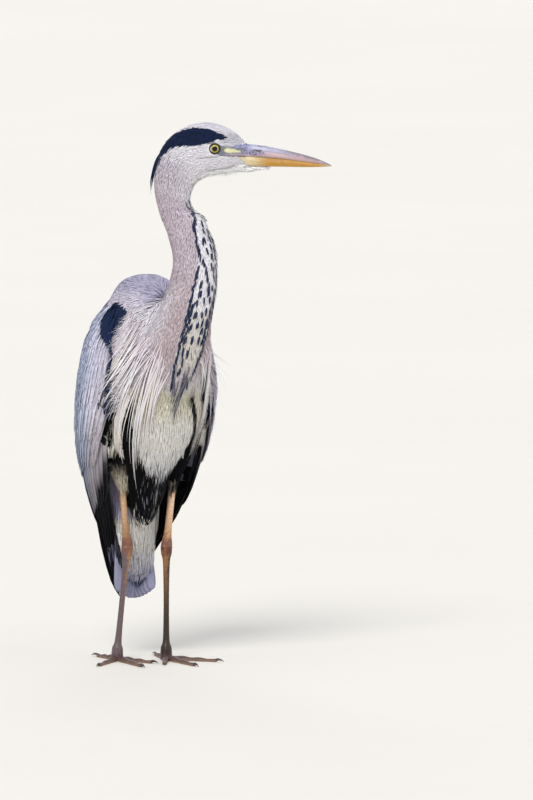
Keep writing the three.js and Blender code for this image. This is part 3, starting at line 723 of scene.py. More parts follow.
def feather_finish(name, contrast, edge, shaft, roughness, rim=0.0, gloss=0.08):
    """Fine slanting barbs, a shaft and softly paler margins over each feather's own tint."""
    f = Finish(name)
    tint = f.attribute("tint")
    grain = f.add("SeparateXYZ", {0: f.attribute("grain", "Vector")})
    across, along, own = (grain.outputs[k] for k in range(3))
    aside = f.math("ABSOLUTE", across)
    slant = f.math("SUBTRACT", along, f.math("MULTIPLY", aside, 1.25))
    fine = f.add("CombineXYZ", {0: f.math("DIVIDE", slant, BARB), 1: f.math("MULTIPLY", across, 0.22), 2: own})
    barbs = f.noise(fine.outputs[0], 1.0, 2.0)
    wide = f.add("CombineXYZ", {0: f.math("DIVIDE", slant, BARB * 5), 1: f.math("MULTIPLY", across, 0.1), 2: own})
    locks = f.noise(wide.outputs[0], 1.0, 2.0)
    both = f.layered(barbs, 0.55, locks, 0.45)
    colour = f.scaled(tint, f.range(both, 0.3, 0.7, 1 - contrast / 2, 1 + contrast / 2))
    vane = f.add("SeparateXYZ", {0: f.add("UVMap", uv_map="vane").outputs[0]})
    off = f.math("ABSOLUTE", f.math("SUBTRACT", vane.outputs[0], 0.5))
    margin = f.range(off, 0.3, 0.5, 0.0, edge)
    colour = f.mix(margin, colour, (1, 1, 1, 1), "SOFT_LIGHT")
    if rim:
        thin = f.math("MULTIPLY", f.range(off, 0.44, 0.5, 0.0, rim), f.range(own, 0.0, OWN_NUMBERS, 0.4, 1.0))
        colour = f.mix(thin, colour, (*shade("A9A6B4"), 1))
    spine = f.math("MULTIPLY", f.range(aside, 0.0, 0.32, shaft, 0.0), f.range(vane.outputs[1], 0.5, 0.95, 1.0, 0.0))
    colour = f.mix(spine, colour, f.scaled(tint, 0.5))
    f.bump(both, 0.35, 0.0004)
    return f.finished(colour, roughness, sheen_weight=0.005, sheen_roughness=0.5, specular_ior_level=gloss)


@functools.cache
def finish(kind):
    """The finishes, each made once."""
    kinds = {
        "fine": dict(name="fine_feather", contrast=0.14, edge=0.05, shaft=0.0, roughness=0.75),
        "loose": dict(name="loose_feather", contrast=0.2, edge=0.1, shaft=0.05, roughness=0.7),
        "vane": dict(name="vane_feather", contrast=0.3, edge=0.3, shaft=0.3, roughness=0.6, rim=0.4, gloss=0.05),
        "plume": dict(name="plume_feather", contrast=0.14, edge=0.05, shaft=0.08, roughness=0.55),
    }
    return feather_finish(**kinds[kind])


# ---------------------------------------------------------------- feathers

# Cross-sections: share of the half width, share of the arch's rise, share of the thickness below it.
SLIM = np.array([[-1, 0, 0], [0, 1, 0], [1, 0, 0]], float)
BROAD = np.array(
    [
        [-1, 0, 0],
        [-0.5, 0.75, 0],
        [0, 1, 0],
        [0.5, 0.75, 0],
        [1, 0, 0],
        [0.5, 0.75, 1],
        [0, 1, 1],
        [-0.5, 0.75, 1],
    ],
    float,
)
PATCH = 0.003  # each feather's patch on the baking map


def atlas(points):
    """Places of points on an unwrap of the skin: head and neck on the left, trunk on the right."""
    place, turn, away, _ = on_neck(points)
    z = points[:, 2]
    body = body_turn(points)
    neck_map = np.stack([0.02 + 0.46 * (turn / (2 * np.pi) + 0.5), 0.98 - 0.96 * place / LAST_NECK_PLACE], -1)
    body_map = np.stack([0.52 + 0.46 * (body / (2 * np.pi) + 0.5), 0.02 + 0.96 * z / MAP_HEIGHT], -1)
    return np.where((z > 480 + 90 * step_up(away, 0, 12))[:, None], neck_map, body_map)


def vanes(
    name, middles, outs, halves, camber, tints, spots=None, section=SLIM, thick=0.5, kind="fine", cells=False
):
    """Feathers as closed thin vanes, one for each row of middle points [feathers, rings, 3].

    outs are the ways their faces look, halves their half widths, and camber the arch's share of those. spots are
    their places on the baking map, unless each has a cell of its own there.
    """
    count, rings = halves.shape
    around = len(section)
    along = unit(np.gradient(middles, axis=1))
    across = unit(np.cross(along, outs))
    up = np.cross(across, along)
    x, arch, under = section.T
    lift = (halves * camber)[..., None] * arch - thick * under
    points = middles[:, :, None] + across[:, :, None] * (halves[..., None] * x)[..., None]
    points = points + up[:, :, None] * lift[..., None]
    index = np.arange(count * rings * around).reshape(count, rings, around)
    nxt = np.roll(index, -1, 2)
    quads = np.stack([index[:, :-1], nxt[:, :-1], nxt[:, 1:], index[:, 1:]], -1)
    top = np.zeros(quads.shape[:3], bool)
    top[:, :, : (around - 1) if around == 3 else 4] = True
    caps = np.concatenate([index[:, 0, ::-1], index[:, -1]])
    faces = [quads.reshape(-1, 4), caps]
    flat = np.concatenate([~top.ravel(), np.ones(len(caps), bool)])
    made = make_object(name, points.reshape(-1, 3), faces, flat)
    mesh = made.data
    t = np.linspace(0, 1, rings)[None, :, None]
    full = points.shape[:3]
    tints = tints[:, None, None] if tints.ndim == 2 else tints[..., None, :]
    add_tint(mesh, np.broadcast_to(tints, (*full, 3)).reshape(-1, 3))
    steps = np.linalg.norm(np.diff(middles, axis=1), axis=2)
    length = np.concatenate([np.zeros((count, 1)), np.cumsum(steps, 1)], 1)[..., None]
    own = (np.arange(count) * 7.31 % OWN_NUMBERS)[:, None, None]
    grain = [np.broadcast_to(v, full) for v in (halves[..., None] * x, length, own)]
    add_grain(mesh, np.stack(grain, -1).reshape(-1, 3))
    share = np.broadcast_to((x + 1) / 2, full)
    add_map(mesh, "vane", np.stack([share, np.broadcast_to(t, full)], -1).reshape(-1, 2))
    if not cells:
        at = atlas(middles[:, 0] if spots is None else spots)
        u = at[:, 0, None, None] + (share - 0.5) * PATCH * 0.7
        v = at[:, 1, None, None] + (t - 0.5) * PATCH
    else:
        side = math.ceil(math.sqrt(count))
        column, row = np.arange(count) % side, np.arange(count) // side
        below = np.broadcast_to(under, full) * 0.5
        u = (column[:, None, None] + 0.04 + 0.45 * share + 0.47 * (below > 0)) / side
        v = (row[:, None, None] + 0.05 + 0.9 * t) / side
    add_map(mesh, "OFBake", np.stack(np.broadcast_arrays(u, v), -1).reshape(-1, 2))
    mesh.materials.append(finish(kind))
    return made


def turned(ways, normals, angles):
    """Directions turned about the normals."""
    side = np.cross(normals, ways)
    return ways * np.cos(angles)[:, None] + side * np.sin(angles)[:, None]


TAIL_END = np.array([5.0, 62.0, -170.0])
NECK_BASE = np.array([32.0, -98.0, 545.0])


def lie_of(points, normals):
    """The way that feathers point: back over the head, down the neck, out over the shoulders and down to the tail."""
    _, _, away, neck_lie = on_neck(points)
    z = points[:, 2]
    way = lerp(unit(TAIL_END - points), unit(points - NECK_BASE), 0.85 * step_up(z, 400, 500)[:, None])
    share = step_down(away, 3, 20) * step_up(z, 440, 505)
    share = share * step_up(1 - np.abs(np.sum(neck_lie * normals, 1)), 0.1, 0.5)
    way = lerp(way, neck_lie, share[:, None])
    return unit(way - normals * np.sum(way * normals, 1, keepdims=True))


def laid(surface, starts, lengths, rings, depth, tip, wander, curl):
    """Middle points and outward ways of feathers that start inside the coat and lie along a surface."""
    spots, normals = surface.nearest(starts)
    middles, outs = [], []
    for ring in range(rings):
        t = ring / (rings - 1)
        height = lerp(-depth, tip, t**0.8) + curl * t**3
        middles.append(spots + normals * np.broadcast_to(height, len(starts))[:, None])
        outs.append(normals)
        if ring < rings - 1:
            way = turned(lie_of(spots, normals), normals, wander)
            spots, normals = surface.nearest(spots + way * (lengths / (rings - 1))[:, None])
    return np.stack(middles, 1), np.stack(outs, 1)


def body_feathers(name, starts, rng, colours, length, half, rings=4, depth=3.0, tip=0.6, **more):
    """Small feathers over the hull: their sizes vary a little and each takes the colour of where it shows."""
    count = len(starts)
    lengths = np.broadcast_to(length, count) * rng.uniform(0.8, 1.2, count)
    wander = rng.normal(0, more.get("wander", 0.1), count)
    tips = tip + rng.uniform(-0.3, 0.6, count) * tip
    middles, outs = laid(hull(), starts, lengths, rings, depth, tips, wander, more.get("curl", 0.0))
    t = np.linspace(0, 1, rings)
    outline = np.interp(t, [0, 0.35, 0.7, 0.9, 1], more.get("outline", [0.75, 1, 0.9, 0.55, 0.18]))
    halves = np.broadcast_to(half, count)[:, None] * outline * rng.uniform(0.8, 1.2, (count, 1))
    shown = middles[:, (2 * rings) // 3]
    # Painted shade: each feather is darker towards its root, where it lies under its neighbours; root is the share of
    # its colour left there.
    root = more.get("root", 0.86)
    tints = colours(shown, rng)[:, None] * (root + (1 - root) * step_up(t, 0.1, 0.7))[None, :, None]
    return vanes(name, middles, outs, halves, more.get("camber", 0.13), tints, starts)


def tapered(rng, widest, middles, places, shares):
    """Half widths along feathers: the widest of each is drawn between two limits."""
    count, rings = middles.shape[:2]
    return rng.uniform(*widest, (count, 1)) * np.interp(np.linspace(0, 1, rings), places, shares)


# ---------------------------------------------------------------- markings

# The black stripe over the eye, as forward and up from the eye; above it the crown is white.
STRIPE_TOP = [
    (18.5, 16), (11.8, 19.3), (4.7, 22.9), (-7, 27.4), (-24, 29.6), (-37, 28.2), (-45, 25.5), (-52, 21.5),
    (-58, 30), (-100, 60),
]
STRIPE_LOW = [
    (18.5, 15.4), (10, 12.6), (3, 12), (-2.4, 10), (-12, 6.3), (-22, 4.5), (-42, 3.2), (-57, 2), (-65, -2),
    (-74, -10),
]
NAPE_INNER = [(-9, -73), (-15, -76.5), (-30, -81.5), (-45, -85)]  # up, forward

# Half width of the streaked foreneck, in degrees from its front, by place along the neck.
FORENECK = [
    (9, 8), (10, 30), (11.8, 54), (13.1, 56), (14, 48), (15, 43), (15.7, 41), (16.1, 43), (18.6, 38), (20, 30.5),
    (21, 25), (22, 19), (23, 10), (24, 4),
]
STRIP_ENDS = (9.6, 22.7)

# By height, in degrees from the back: the shoulder's black patch and the line below it, between its two edges.
PATCH_BACK = [
    (346, 116), (384, 120), (440, 120), (455, 116), (463, 106), (469, 99), (475, 95), (485, 88), (496, 80),
    (503, 76), (511, 79), (515, 92),
]
PATCH_FRONT = [
    (346, 122), (384, 132), (409, 134), (441, 132.5), (456, 128.5), (467, 124), (484, 122.5), (494, 124),
    (500, 122), (506, 113), (512, 100), (516, 94),
]
LINE_SHIFT = [(346, -3), (374, 10), (404, 20), (436, 22), (458, 0)]  # how much further forward on the bird's left
# The same for the cream tuft under the wing's edge.
TUFT = (
    [(300, 108), (314, 113), (336, 119), (358, 126), (380, 131.5), (402, 135)],
    [(300, 112), (321, 121), (351, 130), (366, 135), (380, 139), (402, 142)],
)
LEFT_TUFT = (
    [(304, 103), (320, 112), (334, 119), (362, 127), (402, 130)],
    [(304, 109), (320, 124), (334, 134), (362, 147), (386, 158), (402, 163)],
)

# The pale belly's half width by height, in degrees from the front of the trunk, on the bird's right and left.
BELLY = [
    [(256, 0), (262, 9), (272, 23), (284, 31), (296, 36), (314, 38), (337, 38), (381, 36), (398, 40), (410, 90)],
    [
        (256, 0), (262, 8), (268, 20), (276, 36), (284, 46), (296, 50), (309, 48), (332, 39), (363, 25), (386, 15),
        (398, 16), (410, 90)
    ],
]

# The front edge of the folded wing's grey by height, in degrees from the back.
WING_EDGE = [
    (170, 60), (186, 70), (206, 88), (227, 97), (257, 106), (268, 112), (291, 117), (306, 120), (336, 119),
    (358, 117), (373, 117), (397, 120), (423, 121), (440, 120), (455, 115),
]


def speckle(points, scale, seed=0):
    """Smooth noise from -1 to 1 for points, with a grain of about scale millimetres."""
    total = np.zeros(len(points))
    for k, size_share in enumerate((1.0, 0.6, 0.37)):
        turn = np.random.default_rng(seed + 10 * k + 1)
        ways = turn.normal(size=(5, 3))
        ways /= np.linalg.norm(ways, axis=1, keepdims=True)
        waves = points @ ways.T * (2 * np.pi / (scale * size_share)) + turn.uniform(0, 7, 5)
        total += np.sin(waves + 1.3 * np.sin(waves[:, ::-1] * 0.53)).mean(1)
    return np.clip(total / 1.2, -1, 1)


def head_colours(points):
    forward, up, _ = head_place(points)
    rough = 0.8 * speckle(points, 7, 3) + 1.3 * speckle(points, 2.4, 9)
    colour = palette("white")
    warm = step_up(-up, 10, 45) * 0.5
    colour = blend(colour, palette("belly") * 1.02, warm * 0.5)
    grey = step_up(-forward, 22, 66) * step_up(-up, -2, 34)
    colour = blend(colour, lerp(palette("frost"), palette("neck"), 0.7) * 0.92, 0.9 * grey)
    colour = blend(colour, "frost", 0.5 * between(up, 30, 60, 6) * step_up(forward, -30, 10))
    brow = between(forward, 8, 40, 4) * between(up, 6, 22, 3)
    colour = blend(colour, palette("lore") * 1.2, brow * (0.25 + 0.25 * speckle(points, 4, 8)))
    mouth = bell(up + np.interp(forward, [-27, 3], [14.0, 11.6]), 0.8) * between(forward, -24, 5, 5)
    jaw = bell(up - np.interp(forward, [-12, 18, 36, 48], [-33, -27.6, -24.2, -24]), 0.9)
    jaw = jaw * between(forward, -10, 52, 7)
    colour = blend(colour, palette("lore") * 0.55, 0.5 * mouth + 0.35 * jaw)
    low, top = along_line(STRIPE_LOW, forward), along_line(STRIPE_TOP, forward)
    stripe = step_up(up + rough, low - 0.6, low + 0.6) * step_down(up + rough, top - 0.6, top + 0.6)
    stripe = stripe * step_up(18.5 - forward + 5 * speckle(points, 2.4, 19), -1, 3) * (forward > -74)
    nape = (forward <= -74) & (forward + rough < along_line(NAPE_INNER, up)) & (up > -48) | (forward <= -74) & (up > -9)
    return blend(colour, "navy", np.maximum(stripe, nape))


# The foreneck's columns of streaks: share of its half width by place, then the step, length and half width of each.
STREAK_COLUMNS = [
    ([(9.6, -0.97), (14.8, -0.95), (15.3, -0.85), (16.1, -0.45), (17.2, -0.05), (17.9, 0.1)], 6.2, 11, 1.6),
    ([(15.9, -0.93), (22.7, -0.92)], 6.4, 10.5, 1.5),
    ([(18.8, -0.76), (20.6, -0.76)], 7, 11, 1.5),
    ([(10, -0.5), (12.4, -0.55)], 8, 9, 1.2),
    ([(12.7, -0.5), (15, -0.45)], 14, 12, 2.0),
    ([(17, -0.55), (22.4, -0.5)], 16, 12.5, 1.9),
    ([(10.2, -0.12), (12.4, -0.12)], 8, 9, 1.2),
    ([(13, -0.12), (16.2, 0)], 14, 12, 2.1),
    ([(18.3, -0.14), (21.6, -0.1)], 19, 12.5, 1.9),
    ([(10.4, 0.28), (12.4, 0.28)], 8, 9, 1.2),
    ([(13.4, 0.3), (21.0, 0.3)], 15, 12.5, 2.0),
    ([(13.4, 0.7), (20.8, 0.66)], 6.8, 12, 1.7),
    ([(9.6, 0.96), (22.7, 0.96)], 7.5, 12, 1.2),
]


@functools.cache
def streak_spots():
    """The dark streaks of the foreneck: place, turn, length and half width of each."""
    rng = np.random.default_rng(61)
    rows = []
    for column, (shares, gap, length, width) in enumerate(STREAK_COLUMNS):
        places = np.linspace(shares[0][0], shares[-1][0], 400)
        line = neck_point(places, np.zeros(400))
        arc = np.concatenate([[0], np.cumsum(np.linalg.norm(np.diff(line, axis=0), axis=1))])
        reach = 5.0 * (column % 2)
        while reach < arc[-1]:
            place = np.interp(reach, arc, places)
            turn = (along_line(shares, place) + rng.normal(0, 0.025 if gap < 9 else 0.06)) * along_line(FORENECK, place)
            rows.append([place, math.radians(turn), length * rng.uniform(0.8, 1.2), width * rng.uniform(0.8, 1.2)])
            reach += gap * rng.uniform(0.85, 1.2)
    return np.array(rows)


def streaked(points, place, turn):
    """How dark the foreneck's streaks are at points on the neck."""
    dark = np.zeros(len(points))
    near = np.flatnonzero((place > STRIP_ENDS[0]) & (place < STRIP_ENDS[1]) & (np.abs(turn) < 1.2))
    spots = streak_spots()
    at = neck_point(spots[:, 0], spots[:, 1])
    way = unit(neck_point(spots[:, 0] + 0.1, spots[:, 1]) - at)
    for centre, along, long, wide in zip(at, way, spots[:, 2], spots[:, 3]):
        away = points[near] - centre
        run = away @ along
        aside = np.linalg.norm(away - run[:, None] * along, axis=1)
        inside = step_down(np.hypot(run / (long / 2), aside / (wide * 1.1)), 0.75, 1.2)
        dark[near] = np.maximum(dark[near], inside)
    return dark


def breast_colours(points):
    z = points[:, 2]
    colour = blend("blush", "frost", 0.45 * step_up(z, 440, 500))
    colour = blend(colour, "white", 0.68 + 0.12 * speckle(points, 16, 2))
    return blend(colour, "cream", 0.6 * step_down(z, 380, 430))


def neck_colours(points, place, turn, streaks=False):
    degrees = np.degrees(np.abs(turn))
    rough = speckle(points, 16, 2)
    colour = palette("neck")
    colour = blend(colour, "blush", step_up(place, 15, 20) * (1 - 0.6 * step_up(degrees, 60, 150)))
    colour = blend(colour, "white", step_down(place, 8.2, 11.5) * 0.45)
    colour = colour * lerp(1.0, 0.95, step_up(place, 15, 18.5))[:, None]
    colour = blend(
        colour, breast_colours(points), step_up(place, 16.6, 20) * step_up(degrees + 10 * rough, 45, 105)
    )
    colour = blend(colour, breast_colours(points), 0.9 * step_up(place + 0.4 * rough, 21, 23.2))
    colour = colour * (1 + 0.06 * speckle(points, 34, 5)[:, None])
    half = along_line(FORENECK, place)
    strip = step_down(degrees, half - 2, half + 2) * step_down(place, 21.4, 23) * (place > STRIP_ENDS[0])
    throat = step_down(place, 9.0, 10.2) * step_down(degrees, 60, 90)
    # Painted light: the streaked strip's white is lifted a little, for the light that falls on the front of the neck.
    bright = palette("white") * (1 + 0.08 * strip[:, None])
    bright = blend(bright, palette("cream") * 0.98, 0.7 * step_up(place, 17.5, 20.5))
    colour = blend(colour, bright, np.maximum(strip, throat))
    if streaks:
        colour = blend(colour, "navy", 0.9 * streaked(points, place, turn))
    return colour


def within(degrees, z, back, front, soft=2.0):
    """1 between two edges drawn by height, and 0 outside them."""
    inside = between(degrees, along_line(back, z), along_line(front, z), soft)
    return inside * between(z, back[0][0], max(back[-1][0], front[-1][0]), 2)


def patch_share(points, turn):
    """1 in the shoulder's black patch and the line below it."""
    x, z = points[..., 0], points[..., 2]
    return within(turn - np.where(x > 0, along_line(LINE_SHIFT, z), 0), z, PATCH_BACK, PATCH_FRONT)


def mantle_depth(points):
    """How far inside the upper back and the shoulders points lie, in millimetres."""
    x, y, z = points.T
    degrees = from_back(points)
    return np.where(
        z > 498, y - 0.014 * (x + 4) ** 2 + 49, np.interp(z, [400, 450, 480], [118, 119, 123]) - degrees
    )


def thigh_depth(points):
    """How far inside the nearer thigh's outside points lie; negative outside it."""
    depths = []
    for leg in LEGS.values():
        hip, garter = np.array(leg["hip"], float), np.array(leg["garter"], float)
        t = np.clip((points - hip) @ (garter - hip) / np.sum((garter - hip) ** 2), 0, 1)
        radius = np.interp(t, *THIGH)
        depths.append(radius - np.linalg.norm(points - lerp(hip, garter, t[:, None]), axis=1))
    return np.max(depths, 0)


def body_colours(points):
    x, y, z = points.T
    degrees = from_back(points)
    front = 180 - degrees
    rough = speckle(points, 16, 2)
    fine = speckle(points, 7, 6)
    mantle = blend("mantle", "frost", 0.14 + 0.14 * rough)
    # Painted shade: the upper back is darker towards its top, where the light from above falls strongest.
    mantle = mantle * lerp(1.0, 0.87, step_up(z, 498, 535))[:, None]
    shoulder = between(degrees, 60, 150, 14) * step_up(z, 440, 500) * (x < 10)
    pinker = lerp(palette("frost"), palette("blush"), 0.4) * 1.05
    mantle = blend(mantle, pinker, 0.8 * shoulder * step_down(z, 520, 540))
    colour = breast_colours(points)
    # belly between black flanks
    rise = 16 * step_up(front, 34, 42)
    low = step_down(z + 6 * rough - rise, 386, 400)
    half = np.where(x < 4, *(along_line(line, z) for line in BELLY)) + 3 * rough + 2 * fine
    pale = step_down(front, half - 3, half + 3)
    belly = blend("belly", "frost", 0.4 * step_up(-z, -320, -270))
    belly = blend(belly, palette("cream") * [0.93, 0.95, 0.82], 0.8 * step_up(z, 330, 376))
    belly = blend(belly, "black", 0.85 * step_down(z, 262, 294) * step_up(fine + 0.4 * rough, -0.25, 0.3))
    wisps = 0.3 * step_up(fine, 0.5, 0.9) * between(z, 208, 262, 14) * (front < 50)
    flank = blend("black", "frost", wisps)
    under = blend(flank, belly, pale)
    tuft = np.where(x < 4, *(within(degrees + 2 * fine, z, *edges) for edges in (TUFT, LEFT_TUFT)))
    under = blend(under, "cream", tuft)
    thigh = step_up(thigh_depth(points) + 1.5 * fine, -4, 0) * step_down(z + 5 * fine, 258, 286) * (degrees < 130)
    under = blend(under, "thigh", thigh * (x < 0))
    colour = blend(colour, under, low)
    # feathering under the tail
    edge = 197 + np.minimum(0.034 * (x - 4) ** 2, 14) + 8 * rough + 8 * fine
    vent = blend("vent", "belly", 0.6 * step_up(z, 150, 190))
    vent = blend(vent, palette("tail") * 1.1, 0.9 * step_down(z + 10 * rough, 110, 166))
    colour = blend(colour, vent, step_down(z, edge - 3, edge + 3) * (y < 46))
    low_back = (degrees < 62) & ((z > 203) | (y > 46)) | (degrees < 80) & (z > 270)
    back = np.where(z > 380, step_up(mantle_depth(points) + 3 * rough, -7, 4), low_back)
    colour = blend(colour, mantle, back)
    dark = blend(palette("black") * 2, "navy", step_up(z, 380, 425))
    return blend(colour, dark, patch_share(points, degrees + 1.5 * fine))


def plumage(points, streaks=False):
    """The colours of skin and coat anywhere on the body."""
    place, turn, away, _ = on_neck(points)
    z = points[:, 2]
    colour = body_colours(points)
    on = step_down(away, 3, 24) * step_up(z, 395, 440)
    colour = blend(colour, neck_colours(points, place, turn, streaks), on)
    return blend(colour, head_colours(points), step_down(place, 7.5, 10) * (away < 25) * (z > 600))


def plumage_varied(points, rng, amount=0.03):
    return plumage(points) * rng.normal(1, amount, (len(points), 1)).clip(0.8, 1.2)


# ---------------------------------------------------------------- operators


class HeronOperator(bpy.types.Operator):
    """What the bird's operators share."""

    bl_options = {"REGISTER", "UNDO"}

    def execute(self, context):
        self.build()
        return {"FINISHED"}

    def keep(self, piece, slot, *nodes):
        """Fixes a piece to the frame and hides the frame nodes that it stands for; slot is not used."""
        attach(piece, "root")
        if nodes:
            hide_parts(*nodes)
        return piece


def coat_depth(points):
    """How deep the skin lies under the outside."""
    place, _, away, _ = on_neck(points)
    depth = lerp(1.0, 2.6, step_up(place, 6, 13)) + (size("coat_depth") - 2.6) * step_up(away, 0, 25)
    near_legs = step_down(points[:, 2], 225, 290)
    return lerp(depth, 2.0, near_legs * (points[:, 2] < 300))


BREAST_FLOOR = 385  # the height that parts breast and mantle from the belly


def on_head(points):
    """True where the head's feathers stand."""
    return (on_neck(points)[0] < 10.2) & (points[:, 2] > 600)


def along_neck(points):
    """True where the neck's feathers stand, down to where it meets the shoulders."""
    place, _, away, _ = on_neck(points)
    return (place >= 9.4) & (points[:, 2] > 470) & (away < 12)


class HERON_OT_skin(HeronOperator):
    """The skin under all feathers"""

    bl_idname = "heron.skin"
    bl_label = "Skin"

    def build(self):
        outside = hull()
        points = outside.points - outside.normals * coat_depth(outside.points)[:, None]
        skin = make_object("skin", points, [outside.faces])
        shadow = lerp(1.0, 0.9, step_up(on_neck(outside.points)[0], 9, 14))
        add_tint(skin.data, plumage(outside.points, True) * shadow[:, None])
        add_map(skin.data, "OFBake", atlas(outside.points))
        f = Finish("down")
        fine = f.noise(f.place(), 900.0, 4.0)
        wide = f.noise(f.place(), 160.0, 3.0)
        both = f.layered(fine, 0.6, wide, 0.4)
        f.bump(both, 0.6, 0.0008)
        colour = f.scaled(f.attribute("tint"), f.range(both, 0.3, 0.7, 0.7, 1.1))
        skin.data.materials.append(f.finished(colour, 0.85, specular_ior_level=0.2))
        nodes = ["head", "neck_upper", "neck_middle", "neck_lower", "torso", "wing_left", "wing_right"]
        self.keep(skin, "body_feathers", *nodes, "tail", "thigh_left", "thigh_right")


def off_the_eye(points):
    """True outside the bare rim of the eye, and further out before it, where feathers point towards it."""
    forward, up, left = head_place(points)
    away = np.hypot(forward, up)
    return (away > 8.4 + 3.1 * np.maximum(0, forward / np.maximum(away, 1))) | (np.abs(left) < 8)


# The bare skin from the eye to the bill: its upper and lower edge, forward and up from the eye.
FACE_TOP = [(2, 2), (6, 5.2), (14, 3.8), (22, 3.6), (30, 4.6), (38, 5.6), (44, 6.4), (46, 8), (52, 14)]
FACE_LOW = [(2, -5), (5, -9), (12, -11.3), (32, -12.6), (37, -16), (41, -20), (45, -23.5), (52, -26.5)]


def face_depth(points):
    """How far inside the bare face points lie, in millimetres; negative outside it."""
    forward, up, _ = head_place(points)
    rough = 0.9 * speckle(points, 5, 4)
    top, low = along_line(FACE_TOP, forward), along_line(FACE_LOW, forward)
    return np.minimum(np.minimum(top - up, up - low), forward - 3) + rough


# Painted light: the chin's white is lifted above the palette's white, against the shade that falls under the chin.
def chin_white_painted_light(points, rng):
    return palette("white") * [1.1, 1.13, 1.05] * rng.normal(1, 0.02, (len(points), 1)).clip(0, 1)


def streak_dark(points, rng):
    return lerp(palette("navy"), palette("frost"), rng.uniform(0, 0.05, (len(points), 1)))


class HERON_OT_head_feathers(HeronOperator):
    """The short feathers of head and chin"""

    bl_idname = "heron.head_feathers"
    bl_label = "Head Feathers"

    def build(self):
        rng = np.random.default_rng(3)
        surface = hull()
        forward = head_place(surface.middles)[0]
        on = on_head(surface.middles)
        spacing = lerp(size("face_spacing"), 1.75, step_up(-forward, -40, 75)) * on
        starts = surface.scatter(spacing, rng)
        starts = starts[off_the_eye(starts) & (face_depth(starts) < 0)]
        if len(starts) == 0:
            raise RuntimeError("no room for the head's feathers")
        back = step_up(-head_place(starts)[0], -45, 70)
        long, half = lerp(4.4, 10.5, back), lerp(0.62, 0.95, back)
        deep, high = lerp(0.9, 1.8, back), lerp(0.3, 0.6, back)
        self.keep(
            body_feathers(
                "head_feathers", starts, rng, plumage_varied, long, half, depth=deep, tip=high, camber=0.07
            ),
            "white_feathers"
        )
        self.chin(surface, rng)

    def chin(self, surface, rng):
        """Longer feathers under the chin, whose tips stand off in a ragged edge."""
        forward, up, left = head_place(surface.middles)
        on = (forward > -14) & (forward < 70) & (up < -24) & (up > -44)
        on = on & (surface.face_normals[:, 2] < 0.1) & (np.abs(left) < 9)
        starts = surface.scatter(1.25 * on, rng)
        forward = head_place(starts)[0]
        tip = np.interp(forward, [-14, 5, 35, 52, 64], [0.5, 1.8, 3.6, 1.4, 0.2])
        curl = np.interp(
            forward, [-14, 5, 35, 52, 64], [0.5, 2.5, 3.5, 1.5, 0.2]
        ) * rng.uniform(0.2, 1.2, len(starts))
        self.keep(
            body_feathers(
                "chin_feathers", starts, rng, chin_white_painted_light, 10.5, 0.75, depth=0.5, tip=tip, curl=curl, wander=0.2
            ),
            "white_feathers"
        )


class HERON_OT_neck_feathers(HeronOperator):
    """The feathers of the neck, and the dark streaks down its front"""

    bl_idname = "heron.neck_feathers"
    bl_label = "Neck Feathers"

    def build(self):
        rng = np.random.default_rng(4)
        surface = hull()
        starts = surface.scatter(size("neck_spacing") * along_neck(surface.middles), rng)
        down = step_up(on_neck(starts)[0], 10, 20)
        long, half = lerp(10.5, 20, down), lerp(0.95, 1.15, down)
        self.keep(
            body_feathers(
                "neck_feathers", starts, rng, plumage_varied, long, half, depth=1.7, tip=0.45, camber=0.08,
                wander=0.06
            ),
            "neck_feathers"
        )
        spots = streak_spots()
        for lane, shift in enumerate((-0.34, 0.34)):  # each streak is two feathers side by side
            at = neck_point(spots[:, 0], spots[:, 1])
            along = unit(neck_point(spots[:, 0] + 0.1, spots[:, 1]) - at)
            aside = unit(neck_point(spots[:, 0], spots[:, 1] + 0.02) - at)
            roots = at - along * spots[:, 2:3] * (0.62 + 0.1 * lane) + aside * spots[:, 3:4] * shift
            made = body_feathers(
                f"foreneck_streaks_{lane + 1}",
                roots,
                rng,
                streak_dark,
                spots[:, 2] * 1.15,
                spots[:, 3] * 0.75,
                rings=6,
                depth=0.6,
                tip=2.1,
                wander=0.07,
                outline=[0.3, 0.9, 1, 0.6, 0.08],
            )
            self.keep(made, "neck_feathers")


# The body's zones: where each lies, spacing share, length, half width, slot and what else differs.
def body_zones(points):
    z = points[:, 2]
    taken = along_neck(points) | on_head(points) | on_wing(points)
    mantle = (mantle_depth(points) > 0) & (z > BREAST_FLOOR)
    thigh = (thigh_depth(points) > -3) & (z < 306) & (z > 222)
    low = (z <= BREAST_FLOOR) & ~thigh
    close = 0.7 * lerp(0.68, 1.0, step_up(np.linalg.norm(points - NECK_BASE, axis=1), 25, 70))
    # root in these settings sets the painted shade at each feather's root: the share of its colour left there.
    fluff = dict(depth=1.6, tip=0.55, wander=0.12, curl=0.7, root=0.95, camber=0.08)
    return {
        "breast_feathers": (
            ~taken & (z > BREAST_FLOOR) & ~mantle, 0.56, 21, 0.85, "neck_feathers",
            dict(tip=0.7, root=0.95, camber=0.08)
        ),
        "mantle_feathers": (
            ~taken & mantle, close, 19, 1.8, "body_feathers",
            dict(depth=1.1, tip=0.35, camber=0.035, wander=0.1, root=0.98)
        ),
        "belly_feathers": (~taken & low & (z > 200), 0.72, 22, 1.05, "body_feathers", fluff),
        "thigh_feathers": (~taken & thigh, 0.6, 12, 0.7, "thigh_feathers", dict(depth=1.8, tip=0.6)),
        "undertail_feathers": (~taken & (z <= 200), 0.72, 27, 1.0, "white_feathers", dict(fluff, curl=0.6)),
    }


class HERON_OT_body_feathers(HeronOperator):
    """The feathers of breast, back, belly and thighs, and those under the tail"""

    bl_idname = "heron.body_feathers"
    bl_label = "Body Feathers"

    def build(self):
        surface = hull()
        for seed, (name, zone) in enumerate(body_zones(surface.middles).items()):
            on, share, length, half, slot, more = zone
            rng = np.random.default_rng(20 + seed)
            starts = surface.scatter(size("body_spacing") * share * on, rng)
            self.keep(body_feathers(name, starts, rng, plumage_varied, float(length), half, **more), slot)


# ---------------------------------------------------------------- wings and tail

